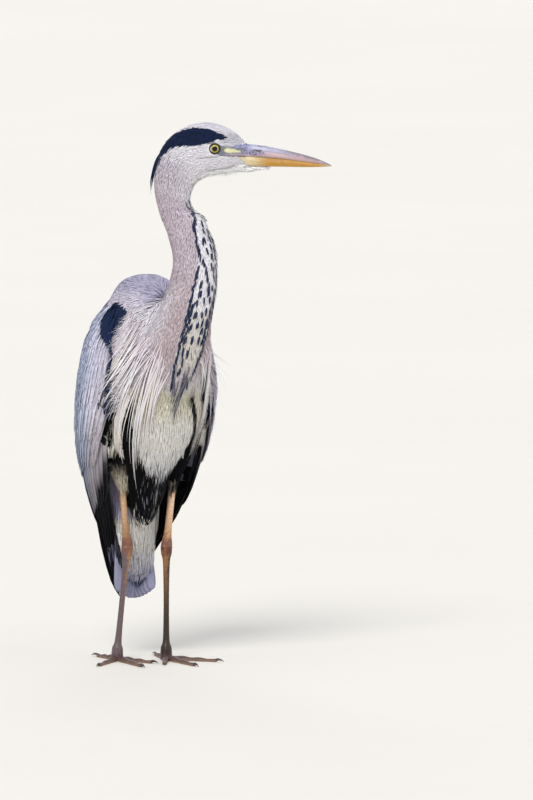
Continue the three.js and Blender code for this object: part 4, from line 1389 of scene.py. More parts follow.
# The folded wing's feathers, from the lowest layer up: their kind and count, the turns and heights of roots and of
# tips, half their width, and how far they lie outside the folded wing. Turns are in degrees from the middle of the
# back; each pair is for the feather nearest the breast and the one nearest the back.
WING_COLUMNS = ("kind", "count", "root_turn", "root", "tip_turn", "tip", "half", "out")
WING_ROWS = [
    ("primary", 9, (119, 60), (272, 262), (118, 62), (116, 86), 8.5, -2.6),
    ("secondary", 15, (121, 50), (330, 316), (116, 50), (228, 184), 8.6, -1.6),
    ("tertial", 7, (50, 15), (336, 322), (50, 18), (182, 148), 9, -0.8),
    ("covert", 18, (121, 26), (392, 382), (108, 24), (281, 236), 7.9, -0.4),
    ("covert", 19, (121, 30), (424, 414), (115, 28), (326, 286), 7.4, 0.1),
    ("covert", 20, (121, 33), (448, 440), (117, 31), (372, 334), 6.8, 0.4),
    ("covert", 21, (119, 34), (468, 460), (119, 33), (402, 376), 6.2, 0.6),
    ("covert", 22, (116, 35), (486, 478), (116, 34), (430, 412), 5.6, 0.8),
    ("covert", 22, (110, 36), (500, 494), (111, 35), (454, 442), 5.0, 0.9),
    ("covert", 22, (104, 38), (512, 508), (106, 37), (478, 468), 4.5, 0.9),
]
FLIGHT_TIMES = np.array([0, 0.2, 0.4, 0.58, 0.74, 0.86, 0.93, 0.975, 1.0])
FLIGHT_OUTLINE = [0.5, 0.85, 1, 1, 0.97, 0.86, 0.66, 0.42, 0.14]
COVERT_OUTLINE = [0.5, 0.85, 1, 0.98, 0.88, 0.72, 0.54, 0.36, 0.14]


def wing_place(points):
    """Turn round the folded wings in degrees, and the depth under their outside."""
    front, back, half, left = np.moveaxis(at_height(FOLDED_WINGS, points[..., 2]), -1, 0)
    x = (points[..., 0] - left) / half
    y = (points[..., 1] - (front + back) / 2) / ((back - front) / 2)
    reach = np.hypot(x, y)
    return np.degrees(np.arctan2(x, y)), (1 - reach) * (half + (back - front) / 2) / 2


def on_wing(points):
    """True on the outside of the folded wings below the shoulder."""
    turn, depth = wing_place(points)
    z = points[..., 2]
    return (np.abs(turn) < 127) & (np.abs(turn) > 15) & (depth < 12) & (z < 505) & (z > 235)


def wing_lines(side, row, rng):
    """Middle points and outward ways of one row of the wing's feathers."""
    share = np.linspace(0, 1, row["count"])[:, None]
    t = FLIGHT_TIMES[None]
    wobble = rng.normal(0, 1, (4, row["count"], 1))
    root = lerp(*row["root"], share) + 2 * wobble[0]
    tip = lerp(*row["tip"], share**1.1) + 2.2 * wobble[1]
    turn = lerp(lerp(*row["root_turn"], share), lerp(*row["tip_turn"], share), t**1.4) + 0.5 * wobble[2]
    height = lerp(root, tip, t)
    out = lerp(-6.5, row["out"], np.minimum(1, t * 1.6) ** 0.7) + 0.3 * wobble[3] * t
    middle = upright(FOLDED_WINGS, height, side * np.radians(turn), out)
    aside = unit(upright(FOLDED_WINGS, height, side * np.radians(turn + 1), out) - middle)
    along = unit(np.gradient(middle, axis=1))
    outward_way = unit(np.cross(aside, along) * -side)
    centre = at_height(FOLDED_WINGS, height)
    away = middle - np.stack([centre[..., 3], (centre[..., 0] + centre[..., 1]) / 2, height], -1)
    outward_way *= np.sign(np.sum(outward_way * away, -1, keepdims=True))
    return middle, unit(outward_way - 0.13 * aside), turn, height


def wing_tints(kind, turn, height, rng, side):
    """Colours of one row's feathers along their lengths."""
    count = len(turn)
    edge = along_line(WING_EDGE, height) + rng.normal(0, 1.5, (count, 1))
    edge = edge + 8 * (side > 0) * step_up(height, 290, 320)
    inner = step_up(turn, edge - 30, edge - 8)
    grey = blend("wing", "wing_edge", inner * 0.8)
    pale = between(turn, edge - 24, edge - 3, 6) * step_up(height, 330, 380) + 0.3 * step_up(height, 400, 490)
    grey = blend(grey, "frost", np.clip(pale, 0, 1) * rng.uniform(0.6, 1, (count, 1)))
    grey = grey * lerp(
        0.5, 1, step_up(height, 235, 362)
    )[..., None] * lerp(0.8, 1, step_up(turn, 56, 76))[..., None]
    share = 0.0 if kind == "primary" else step_down(turn, edge - 2.5, edge + 1.5)
    return blend("black", grey, share) * rng.normal(1, 0.08, (count, 1, 1)).clip(0.8, 1.2)


def fringe(middles, outs, halves, tints, rng, count, reach, start=0.3):
    """Loose locks of barbs over a vane's face and past its edge: their middle lines, ways and colours."""
    feathers = len(middles)
    along = unit(np.gradient(middles, axis=1))
    across = unit(np.cross(along, outs))
    t = rng.uniform(start, 0.97, (feathers, count))
    place = np.interp(t.ravel(), FLIGHT_TIMES, np.arange(len(FLIGHT_TIMES))).reshape(t.shape)
    low = np.clip(np.floor(place).astype(int), 0, middles.shape[1] - 2)
    part = (place - low)[..., None]
    pick = np.arange(feathers)[:, None]

    def at(values):
        return lerp(values[pick, low], values[pick, low + 1], part)

    side = np.where(rng.random((feathers, count, 1)) < 0.5, -1.0, 1.0)
    half = at(halves[..., None])
    inner = rng.uniform(0.1, 0.7, (feathers, count, 1))
    length = half * rng.uniform(1.3, 2.2, (feathers, count, 1))
    lines = []
    for step in (0, 0.35, 0.7, 1.0):
        wide = side * half * lerp(inner, 1.02 + reach * rng.uniform(0.4, 1, inner.shape), step)
        lift = 0.5 + 0.5 * step
        lines.append(at(middles) + at(across) * wide + at(along) * length * step + at(outs) * lift)
    lines = np.stack(lines, 2).reshape(-1, 4, 3)
    ways = np.repeat(at(outs).reshape(-1, 1, 3), 4, 1)
    colours = at(tints).reshape(-1, 3) * rng.normal(1.02, 0.1, (feathers * count, 1))
    return lines, ways, colours


class HERON_OT_wings(HeronOperator):
    """The folded wings' feathers"""

    bl_idname = "heron.wings"
    bl_label = "Wings"

    def build(self):
        for side, name in ((1, "left"), (-1, "right")):
            rng = np.random.default_rng(31)
            parts = {"flight": [], "covert": []}
            for row in (dict(zip(WING_COLUMNS, values)) for values in WING_ROWS):
                middles, outs, turn, height = wing_lines(side, row, rng)
                kind = "covert" if row["kind"] == "covert" else "flight"
                outline = COVERT_OUTLINE if kind == "covert" else FLIGHT_OUTLINE
                halves = row["half"] * np.array(outline) * rng.uniform(0.92, 1.08, (row["count"], 1))
                tints = wing_tints(row["kind"], turn, height, rng, side)
                degrees = from_back(middles)
                tints = blend(tints, "navy", patch_share(middles, degrees))
                parts[kind].append((middles, outs, halves, tints))
            for kind, rows in parts.items():
                middles, outs, halves, tints = joined(rows)
                label = f"flight_feathers_{name}" if kind == "flight" else f"wing_coverts_{name}"
                made = vanes(label, middles, outs, halves, 0.09, tints, section=BROAD, kind="vane", cells=True)
                self.keep(made, "wing_feathers", f"wing_{name}")
                dressing.append(made)
                if kind == "covert":
                    lines, ways, colours = fringe(middles, outs, halves, tints, rng, 44, 0.12)
                    slim = np.array([0.5, 0.75, 0.6, 0.12]) * rng.uniform(0.7, 1.3, (len(lines), 1))
                    self.keep(
                        vanes(f"covert_barbs_{name}", lines, ways, slim, 0.5, colours, kind="plume"),
                        "wing_feathers"
                    )


dressing = []  # what the long plumes lie over, besides the hull


class HERON_OT_tail(HeronOperator):
    """The tail feathers"""

    bl_idname = "heron.tail"
    bl_label = "Tail"

    def build(self):
        rng = np.random.default_rng(41)
        count = 12
        place = np.linspace(-5.5, 5.5, count)[:, None]
        t = FLIGHT_TIMES[None]
        tip = 84.5 + np.abs(place) ** 1.7 * 0.62 + rng.normal(0, 0.3, (count, 1))
        z = lerp(204, tip, t)
        x = 5 - 2 * (1 - t) + place * lerp(2.9, 4.7, t)
        y = lerp(47, 37, t) - 1.15 * np.abs(place - 0.3)
        middles = np.stack(np.broadcast_arrays(x, y, z), -1)
        outs = np.zeros_like(middles)
        outs[..., 1] = -1
        outs = unit(outs + np.array([0.1, 0, 0]) * np.sign(place)[..., None])
        outline = [0.6, 0.85, 1, 1, 1, 0.97, 0.87, 0.66, 0.3]
        halves = 8.6 * np.array(outline) * rng.uniform(0.96, 1.04, (count, 1))
        tints = palette("tail") * rng.normal(1, 0.05, (count, 1, 1))
        tints = tints * lerp(1, lerp(0.5, 0.93, step_up(t, 0.3, 0.62)), step_down(place, -3.5, -1.5))[..., None]
        made = vanes("tail_feathers", middles, outs, halves, 0.1, tints, section=BROAD, kind="vane", cells=True)
        self.keep(made, "tail_feathers", "tail")
        dressing.append(made)
        dark = palette("tail") * 0.6
        self.beside(1, "pale_fluff", lambda random, shape: palette("vent") * random.normal(0.97, 0.05, shape))
        self.beside(
            -1, "dark_fluff", lambda random, shape: lerp(palette("black"), dark, random.uniform(0, 0.7, shape))
        )
        self.over()

    def beside(self, side, name, colours):
        """Loose feathers between the tail's root and a folded wing."""
        rng = np.random.default_rng(43)
        count = 190
        share, high = rng.random((2, count, 1))
        t = np.linspace(0, 1, 6)[None]
        z = 166 + 58 * high - 36 * t + rng.normal(0, 3, (count, 1)) * t
        reach = lerp(15, 44, share) * lerp(0.84, 1, high) * (1 - 0.08 * t)
        y = lerp(20, 45, share) + rng.normal(0, 1.6, (count, 1)) + 2 * (1 - t)
        middles = np.stack(np.broadcast_arrays(5 + side * reach, y, z), -1)
        outs = np.broadcast_to(unit(np.array([0.3 * side, -1, 0.1])), middles.shape)
        halves = tapered(rng, (1.2, 1.9), middles, [0, 0.4, 0.8, 1], [0.7, 1, 0.7, 0.15])
        self.keep(vanes(name, middles, outs, halves, 0.15, colours(rng, (count, 1)), kind="loose"), "body_feathers")

    def over(self):
        """The last feathers from under the tail, which thin out over it, and a few dark ones between them."""
        rng = np.random.default_rng(44)
        count = 96
        share = rng.uniform(-1, 1, (count, 1))
        t = np.linspace(0, 1, 7)[None]
        z = lerp(146 + 8 * rng.random((count, 1)), 101 + 16 * share**2 + 12 * rng.random((count, 1)), t)
        x = 6 + 24 * share * lerp(0.95, 0.9, t) + rng.normal(0, 1.5, (count, 1)) * t
        y = lerp(23.5, 35, t**1.4) - 3.5 * np.sin(np.pi * t) - 3 * (1 - share**2) * (1 - t)
        y = y + rng.normal(0, 0.5, (count, 1))
        middles = np.stack(np.broadcast_arrays(x, y, z), -1)
        outs = np.broadcast_to(unit(np.array([0, -1, -0.2])), middles.shape)
        halves = tapered(rng, (1.5, 2.4), middles, [0, 0.4, 0.8, 1], [0.7, 1, 0.75, 0.15])
        tints = blend("vent", palette("tail") * 1.08, lerp(0.35, 1.0, t))
        tints = tints * rng.normal(1, 0.05, (count, 1, 1))
        self.keep(vanes("tail_covering", middles, outs, halves, 0.12, tints, kind="loose"), "tail_feathers")
        ends = np.array([[-9, 119], [-5, 121], [4, 121], [9, 118], [12, 114]], float)
        t = np.linspace(0, 1, 5)[None]
        x = 8 + lerp(ends[:, :1] * 0.15, ends[:, :1], t)
        z = lerp(99 + 0.1 * np.abs(ends[:, :1]), ends[:, 1:], t)
        middles = np.stack(np.broadcast_arrays(x, 31.5 - 2 * t, z), -1)
        outs = np.broadcast_to(np.array([0.0, -1, 0]), middles.shape)
        halves = 0.7 * np.interp(t, [0, 0.5, 1], [0.3, 1, 0.4]) * np.ones((5, 1))
        self.keep(vanes("tail_shafts", middles, outs, halves, 0.3, palette("navy")), "tail_feathers")


# ---------------------------------------------------------------- long plumes

# Roots and tips of the breast's plumes as turns from the back in degrees and heights, row by row outwards.
BREAST_PLUMES = [
    [170, 430, 160, 356],
    [168, 436, 156, 343],
    [167, 444, 150, 326],
    [166, 452, 144, 306],
    [165, 456, 137, 292],
    [164, 460, 131, 286],
    [163, 462, 128, 304],
    [161, 464, 125, 326],
    [159, 468, 122, 346],
    [157, 472, 119, 366],
    [153, 476, 116, 384],
    [147, 479, 116, 402],
    [142, 481, 118, 420],
]
BREAST_CROWD = [1, 1, 1, 1, 0.7, 0.16, 0.16, 0.5, 1, 0.9, 0.6, 0.4]  # how close they stand between those rows
LEFT_PLUMES = [
    [166, 446, 158, 394],
    [165, 452, 151, 386],
    [164, 458, 141, 350],
    [161, 464, 124, 318],
    [159, 466, 118, 299],
    [156, 470, 114, 290],
    [152, 474, 110, 304],
]
LEFT_CROWD = [1, 0.6, 0.9, 1.4, 1.2, 0.8]
STRAY_PLUMES = [
    [160, 446, 134, 296],
    [158, 456, 124, 318],
    [154, 466, 119, 360],
    [150, 474, 114, 396],
]
LEFT_STRAYS = [
    [152, 478, 115, 430],
    [150, 472, 113, 386],
    [150, 464, 112, 344],
    [152, 462, 114, 296],
]
WING_TUFT = [
    [135, 402, 116, 306],
    [137, 402, 118, 299],
    [139, 402, 120, 304],
    [141, 400, 123, 322],
]
# Finer, shorter ones at the side of the breast, over the shoulder's patch and the line below it.
BREAST_BARBS = [
    [136, 392, 124, 366],
    [136, 412, 123, 388],
    [135, 435, 121, 410],
    [133, 455, 117, 430],
    [132, 472, 116, 449],
    [132, 486, 117, 467],
    [132, 497, 120, 482],
]
BACK_PLUMES = [
    [4, 500, 10, 352],
    [10, 506, 22, 334],
    [17, 512, 36, 330],
    [26, 514, 52, 346],
    [38, 512, 66, 372],
]
POINTS = [[172, 424, 176, 372], [175, 416, 178, 350], [178, 412, 179, 366]]
CREST_PATH = [[-66, 6], [-82.5, -16], [-89.5, -40], [-91, -54], [-90, -67]]
NAPE_PATH = [[-62, 7], [-78.5, -14], [-85, -36], [-87, -50], [-88, -62]]


def dressed_surface():
    """The hull with the wings' and tail's feathers on it, for what lies over both."""
    outside = hull()
    points, faces = outside.points, [outside.faces]
    base = len(points)
    stack = [points]
    for piece in dressing:
        mesh = piece.data
        co = np.empty(len(mesh.vertices) * 3, np.float32)
        mesh.vertices.foreach_get("co", co)
        quads = corners_of(mesh)[: 4 * sum(1 for p in mesh.polygons if p.loop_total == 4)].reshape(-1, 4)
        stack.append(co.reshape(-1, 3).astype(float) * 1000 - SHIFT)
        faces.append(quads + base)
        base += len(mesh.vertices)
    return BVHTree.FromPolygons(np.vstack(stack).tolist(), np.vstack(faces).tolist())


def outermost(tree, turn, height):
    """Distance from the trunk's axis to the outermost thing at that turn and height."""
    ways = np.stack([np.sin(turn), np.cos(turn), np.zeros_like(turn)], -1)
    reach = []
    for way, z in zip(ways.reshape(-1, 3), np.broadcast_to(height, turn.shape).ravel()):
        start = Vector((AXIS[0] + 400 * way[0], AXIS[1] + 400 * way[1], z))
        hit = tree.ray_cast(start, Vector(-way))[3]
        reach.append(0.0 if hit is None else 400 - hit)
    return np.array(reach).reshape(turn.shape)


def draped(tree, root_turn, root, tip_turn, tip, rings, lift, free=0.0, bend=1.5):
    """Middle lines of long plumes that lie over everything from root to tip, and their outward ways."""
    t = np.linspace(0, 1, rings)[None]
    turn = lerp(root_turn[:, None], tip_turn[:, None], t**bend)
    height = lerp(root[:, None], tip[:, None], t)
    reach = outermost(tree, turn, height)
    smooth = reach.copy()
    for _ in range(3):
        smooth[:, 1:-1] = np.maximum(smooth[:, 1:-1], (smooth[:, :-2] + smooth[:, 2:]) / 2)
    for _ in range(2):
        smooth[:, 1:-1] = (smooth[:, :-2] + 2 * smooth[:, 1:-1] + smooth[:, 2:]) / 4
    radius = smooth + lerp(-2.5, lift[:, None], step_up(t, -0.1, 0.2)) + free * t**3
    middle = np.stack([AXIS[0] + radius * np.sin(turn), AXIS[1] + radius * np.cos(turn), height], -1)
    outs = np.stack([np.sin(turn), np.cos(turn), np.zeros_like(turn)], -1)
    along = unit(np.gradient(middle, axis=1))
    return middle, unit(outs - along * np.sum(outs * along, -1, keepdims=True))


class HERON_OT_plumes(HeronOperator):
    """The long plumes of breast, back and nape"""

    bl_idname = "heron.plumes"
    bl_label = "Long Plumes"

    def build(self):
        tree = dressed_surface()
        self.patch(tree)
        self.breast(tree)
        self.back(tree)
        self.crest()

    def rows(self, table, place, rng, spread):
        row = smooth_rows(table, place)
        return row + rng.normal(0, 1, row.shape) * np.array(spread)

    def fan(self, tree, rng, table, counts, spread, lift, free, rings=12, bend=1.5, crowd=None):
        """Draped plumes on both sides, between the rows of a table, closer together where crowd is higher."""
        parts = []
        for side, count in zip((-1, 1), counts):
            if not count:
                continue
            place = np.sort(rng.uniform(0, len(table) - 1, count))
            if crowd:
                place = np.interp(place / (len(table) - 1), np.cumsum([0, *crowd]) / sum(crowd), range(len(table)))
            root_turn, root, tip_turn, tip = self.rows(table, place, rng, spread).T
            turns = (side * np.radians(root_turn), root, side * np.radians(tip_turn), tip)
            loose = free * rng.random((count, 1))
            parts.append(draped(tree, *turns, rings, rng.uniform(*lift, count), loose, bend))
        return joined(parts)

    def patch(self, tree):
        """The black feathers of the shoulders, down to the narrow line along the wing's edge."""
        rng = np.random.default_rng(54)
        count, rings = 900, 6
        parts = []
        for side in (-1, 1):
            height = 362 + 143 * rng.random(count) ** 0.62
            share = rng.uniform(0.03, 0.97, count)
            root, tip = height + 5, height - 15

            def turn_at(z):
                shift = along_line(LINE_SHIFT, z) if side > 0 else 0
                return side * np.radians(lerp(along_line(PATCH_BACK, z), along_line(PATCH_FRONT, z), share) + shift)

            lift = rng.uniform(1.0, 2.2, count)
            parts.append(draped(tree, turn_at(height), root, turn_at(tip), tip, rings, lift, bend=1.0))
        middles, outs = joined(parts)
        halves = tapered(rng, (1.4, 2.1), middles, [0, 0.5, 0.8, 1], [0.8, 1, 0.7, 0.15])
        tints = palette("navy") * rng.normal(1.05, 0.08, (len(middles), 1))
        self.keep(
            vanes("shoulder_patch", middles, outs, halves, 0.12, tints, thick=0.3, kind="loose"), "body_feathers"
        )

    def breast(self, tree):
        rng = np.random.default_rng(51)
        count = bpy.context.scene.heron_sizes.plumes
        lay = dict(lift=(1.2, 4.0), free=4.0, bend=0.8)
        right = self.fan(tree, rng, BREAST_PLUMES, (count, 0), (1.6, 8, 2.0, 12), crowd=BREAST_CROWD, **lay)
        left = self.fan(tree, rng, LEFT_PLUMES, (0, 3 * count // 5), (1.6, 8, 1.6, 9), crowd=LEFT_CROWD, **lay)
        middles, outs = joined([right, left])
        t = np.linspace(0, 1, 12)
        width = rng.uniform(0.8, 1.5, (len(middles), 1))
        halves = width * np.interp(t, [0, 0.25, 0.6, 1], [0.6, 1, 0.8, 0.12])
        tints = blend("cream", "white", rng.uniform(0.2, 0.9, len(middles)))
        tints = tints[:, None] * rng.normal(0.96, 0.04, (len(middles), 1, 1))
        tints = blend(tints, lerp(palette("blush"), palette("white"), 0.3), step_down(t, 0.05, 0.5))
        self.keep(
            vanes("breast_plumes", middles, outs, halves, 0.4, tints, kind="plume"), "white_feathers", "torso"
        )
        right = self.fan(tree, rng, STRAY_PLUMES, (12, 0), (2, 8, 3, 14), (2.0, 4.5), 7.0, bend=0.8)
        left = self.fan(tree, rng, LEFT_STRAYS, (0, 14), (2, 5, 1.5, 8), (2.0, 4.0), 21.0, bend=0.8)
        middles, outs = joined([right, left])
        halves = tapered(rng, (0.6, 1.0), middles, [0, 0.25, 0.6, 1], [0.6, 1, 0.7, 0.1])
        tints = palette("white")
        self.keep(vanes("stray_plumes", middles, outs, halves, 0.4, tints, kind="plume"), "white_feathers")
        middles, outs = self.fan(tree, rng, WING_TUFT, (110, 110), (1.0, 6, 1.1, 6), (0.8, 2.4), 0.8, 8, bend=0.9)
        t = np.linspace(0, 1, 8)
        halves = tapered(rng, (1.1, 1.9), middles, [0, 0.5, 0.8, 1], [0.8, 1, 0.85, 0.2])
        tints = blend("cream", "white", rng.uniform(0, 0.6, len(middles)))
        self.keep(
            vanes("wing_tufts", middles, outs, halves, 0.12, tints, thick=0.3, kind="plume"), "white_feathers"
        )
        middles, outs = self.fan(tree, rng, BREAST_BARBS, (480, 380), (2.2, 9, 3.4, 9), (0.9, 2.4), 1.2, 7, 1.4)
        t = np.linspace(0, 1, 7)
        halves = tapered(rng, (0.25, 0.5), middles, [0, 0.4, 1], [0.7, 1, 0.15])
        pink = rng.uniform(0.1, 0.7, len(middles))
        tints = blend("white", "blush", pink)
        self.keep(vanes("breast_barbs", middles, outs, halves, 0.4, tints, kind="plume"), "neck_feathers")
        self.points(tree)

    def points(self, tree):
        """The long dark points of the last foreneck feathers, over the top of the belly."""
        rng = np.random.default_rng(55)
        middles, outs = self.fan(tree, rng, POINTS, (3, 9), (1.5, 6, 1.2, 6), (1.5, 3.5), 1.0, 9, 1.0)
        halves = tapered(rng, (0.7, 1.2), middles, [0, 0.3, 1], [0.6, 1, 0.1])
        tints = blend("navy", "neck", rng.uniform(0, 0.25, len(middles)))
        self.keep(vanes("foreneck_points", middles, outs, halves, 0.3, tints, kind="plume"), "neck_feathers")

    def back(self, tree):
        rng = np.random.default_rng(52)
        parts = []
        for side in (-1, 1):
            place = np.sort(rng.uniform(0, len(BACK_PLUMES) - 1, 34))
            row = self.rows(BACK_PLUMES, place, rng, (3, 8, 3, 12))
            root_turn, root, tip_turn, tip = row.T
            lift = rng.uniform(0.8, 2.8, len(place))
            parts.append(
                draped(
                    tree, side * np.radians(root_turn), root, side * np.radians(tip_turn), tip, 12, lift, bend=1.2
                )
            )
        middles, outs = joined(parts)
        t = np.linspace(0, 1, 12)
        width = rng.uniform(1.6, 3.0, (len(middles), 1))
        halves = width * np.interp(t, [0, 0.25, 0.6, 0.85, 1], [0.7, 1, 0.9, 0.5, 0.08])
        tints = blend("mantle", "frost", rng.uniform(0, 0.7, len(middles)))
        tints = tints[:, None] * rng.normal(1, 0.06, (len(middles), 1, 1))
        self.keep(vanes("back_plumes", middles, outs, halves, 0.3, tints, kind="vane"), "body_feathers")

    def crest(self):
        rng = np.random.default_rng(53)
        count = 34
        share = rng.uniform(0.45, 0.9, count)
        share[:2] = 1.0, 0.9
        close = rng.uniform(0, 1, count)
        close[:2] = 0
        left = rng.uniform(-7, 7, count)
        left[:2] = 2.2, -2.2
        t = np.linspace(0, 1, 14)
        along_path = t[None] * share[:, None] * (len(CREST_PATH) - 1)
        path = lerp(smooth_rows(CREST_PATH, along_path), smooth_rows(NAPE_PATH, along_path), close[:, None, None])
        drift = left[:, None] * (1 - 0.4 * t) + rng.normal(0, 0.8, (count, 1)) * t**2
        middles = head_point(path[..., 0] + 0.06 * left[:, None] ** 2 * (1 - t), path[..., 1], drift)
        along = unit(np.gradient(middles, axis=1))
        outs = unit(np.cross(np.broadcast_to(HEAD_LEFT, along.shape), along))
        outs = outs * np.sign(-(outs @ HEAD_FORWARD))[..., None]
        width = rng.uniform(0.9, 1.7, (count, 1))
        width[:2] = 2.0
        halves = width * np.interp(t, [0, 0.3, 0.7, 1], [0.9, 1, 0.7, 0.12])
        tints = palette("navy") * 1.1
        self.keep(vanes("crest_plumes", middles, outs, halves, 0.5, tints, kind="plume"), "neck_feathers")


# ---------------------------------------------------------------- bill and eyes

# Culmen, mouth line and lower edge by distance forward of the eyes; the bill closes to its point.
BILL_ROWS = [
    # forward, culmen, mouth, lower edge, half width
    [41, 6.2, -11.6, -26.4, 8.2],
    [47.3, 5.2, -12.2, -26.8, 8.6],
    [70, 2.6, -14, -27, 7.6],
    [95, -2.4, -16, -27.3, 6.1],
    [125, -9.6, -19.6, -27.8, 4.2],
    [148, -17, -22.8, -27.6, 2.4],
    [165.3, -25.2, -25.9, -26.6, 0.5],
]
BILL_STEPS, BILL_ARCH = 150, 41  # points along the bill and over each half of it
MOUTH_LINE = [[52, -12.6], [36, -11.4], [20, -11.2], [6, -12], [-8, -13.8]]


def nostril_line(forward):
    """The height of the groove along the upper bill, in which the nostril lies."""
    return lerp(-2.6, -10.6, (forward - 52) / 54)


def horn_finish(name, roughness):
    """Horn streaked along its length, over each point's tint."""
    f = Finish(name)
    vane = f.add("SeparateXYZ", {0: f.add("UVMap", uv_map="vane").outputs[0]})
    aside, along = (f.math("MULTIPLY", vane.outputs[k], scale) for k, scale in enumerate((34.0, 3.0)))
    where = f.add("CombineXYZ", {0: aside, 1: along})
    streaks = f.noise(where.outputs[0], 1.0, 4.0)
    blots = f.noise(f.place(), 140.0, 4.0)
    both = f.layered(streaks, 0.6, blots, 0.4)
    f.bump(both, 0.25, 0.0004)
    colour = f.scaled(f.attribute("tint"), f.range(both, 0.3, 0.7, 0.82, 1.14))
    return f.finished(colour, roughness, coat_weight=0.25, coat_roughness=0.25)


def bare_skin_finish(name, scale, roughness):
    """Small cells of skin, over each point's tint."""
    f = Finish(name)
    cells = f.add("TexVoronoi", {"Vector": f.place(), "Scale": scale}).outputs[0]
    blots = f.noise(f.place(), 180.0, 4.0)
    both = f.layered(cells, 0.5, blots, 0.6)
    f.bump(both, 0.35, 0.0005)
    colour = f.scaled(f.attribute("tint"), f.range(both, 0.2, 0.9, 0.75, 1.18))
    return f.finished(colour, roughness, specular_ior_level=0.4)


def bill_colours(points, upper):
    """Horn colours of the upper or the lower half of the bill, also for the skin that runs into it."""
    forward, up, _ = head_place(points)
    rows = smooth_rows(BILL_ROWS, np.interp(forward, [r[0] for r in BILL_ROWS], range(len(BILL_ROWS))))
    culmen, mouth, lower = rows[:, 1], rows[:, 2], rows[:, 3]
    rough = speckle(points * [1, 1, 2.5], 14, 12)
    dots = speckle(points * [1, 1, 1.6], 5.5, 17)
    if upper:
        high = np.clip((up - mouth) / np.maximum(culmen - mouth, 0.5), 0, 1)
        colour = palette("bill_side")
        colour = blend(colour, "bill_top", step_up(high + 0.12 * rough, 0.3, 0.7))
        root = step_down(forward + 4 * rough, 52, 84) * step_up(high, 0.0, 0.3) * 0.9
        colour = blend(colour, palette("bill_top") * [0.66, 0.68, 0.84], root)
        # Painted highlight: a pale sheen along the upper side of the bill, forward of its root.
        colour = blend(colour, "frost", 0.5 * between(forward, 50, 72, 6) * between(high, 0.55, 0.9, 0.1))
        rim = step_down(high, 0.08, 0.26) * step_up(forward, 46, 60)
        colour = blend(colour, lerp(palette("bill_pale"), palette("bill_low"), 0.5) * 0.42, 0.6 * rim)
        mottled = step_up(dots, -0.1, 0.4) * between(forward, 34, 70, 7) * between(high, 0.12, 0.7, 0.1)
        ridge = step_up(dots, -0.1, 0.4) * between(forward, 38, 80, 8) * step_up(high, 0.8, 0.95)
        colour = blend(colour, "black", 0.75 * np.maximum(mottled, ridge))
        colour = blend(colour, palette("bill_side") * 0.8, 0.6 * step_up(forward, 85, 135))
        tip = step_up(high + 0.2 * rough, 0.45, 0.9) * step_up(forward + 5 * dots, 76, 112)
        colour = blend(colour, palette("claw") * 2.4, 0.5 * tip)
        slit = between(forward, 55.5, 66, 1.0) * bell(up - nostril_line(forward), 0.8)
        return blend(colour, palette("claw") * 0.6, np.clip(slit * 1.3, 0, 1))
    deep = np.clip((mouth - up) / np.maximum(mouth - lower, 0.5), 0, 1)
    colour = palette("bill_low")
    colour = blend(colour, "bill_pale", 0.95 * step_down(forward + 3 * rough, 47, 80))
    colour = blend(colour, "bill_side", 0.4 * between(deep, 0.22, 0.36, 0.08) * step_up(forward, 60, 90))
    colour = blend(colour, "bill_pale", 0.3 * step_up(deep, 0.75, 1.0))
    return blend(colour, palette("bill_pale") * 0.9, 0.6 * step_up(forward, 140, 165))


class HERON_OT_bill(HeronOperator):
    """The two halves of the bill"""

    bl_idname = "heron.bill"
    bl_label = "Bill"

    def build(self):
        places = np.linspace(0, 1, BILL_STEPS) ** 1.05 * (len(BILL_ROWS) - 1)
        forward, culmen, mouth, lower, half = smooth_rows(BILL_ROWS, places).T[:, :, None]
        turn = np.linspace(0, np.pi, BILL_ARCH)[None]
        for name, edge in (("bill_upper", culmen), ("bill_lower", lower)):
            upper = name == "bill_upper"
            cut = mouth + (0.15 if upper else -0.15)
            pinch = np.sin(turn) ** (0.85 if upper else 0.7)
            up = cut + (edge - cut) * pinch
            side = half * np.cos(turn)
            if upper:
                off = up - nostril_line(forward)
                depth = 0.75 * between(forward, 54, 104, 6) * bell(off, 0.9)
                slit = 1.6 * between(forward, 55.5, 66, 1.2) * bell(off, 0.75)
                side = side - np.sign(side) * np.minimum(depth + slit, np.abs(side) * 0.7)
            else:
                low_line = lerp(-20.5, -23.5, (forward - 50) / 50)
                crease = between(forward, 50, 96, 6) * bell(up - low_line, 0.8)
                side = side - np.sign(side) * 0.4 * crease
            arch = head_point(forward + 0 * side, up, side)
            flat = head_point(forward + 0 * turn[:, :1], cut, 0 * forward)
            points, faces = outward(*loft(np.concatenate([arch, flat], 1)))
            made = make_object(f"{name}_horn", points, faces)
            add_tint(made.data, bill_colours(points, upper))
            add_map(made.data, "vane", np.stack(loft_places(BILL_STEPS, BILL_ARCH + 1), -1))
            made.data.materials.append(horn_finish(f"{name}_finish", 0.38))
            self.keep(made, "upper_bill" if upper else "lower_bill", name)


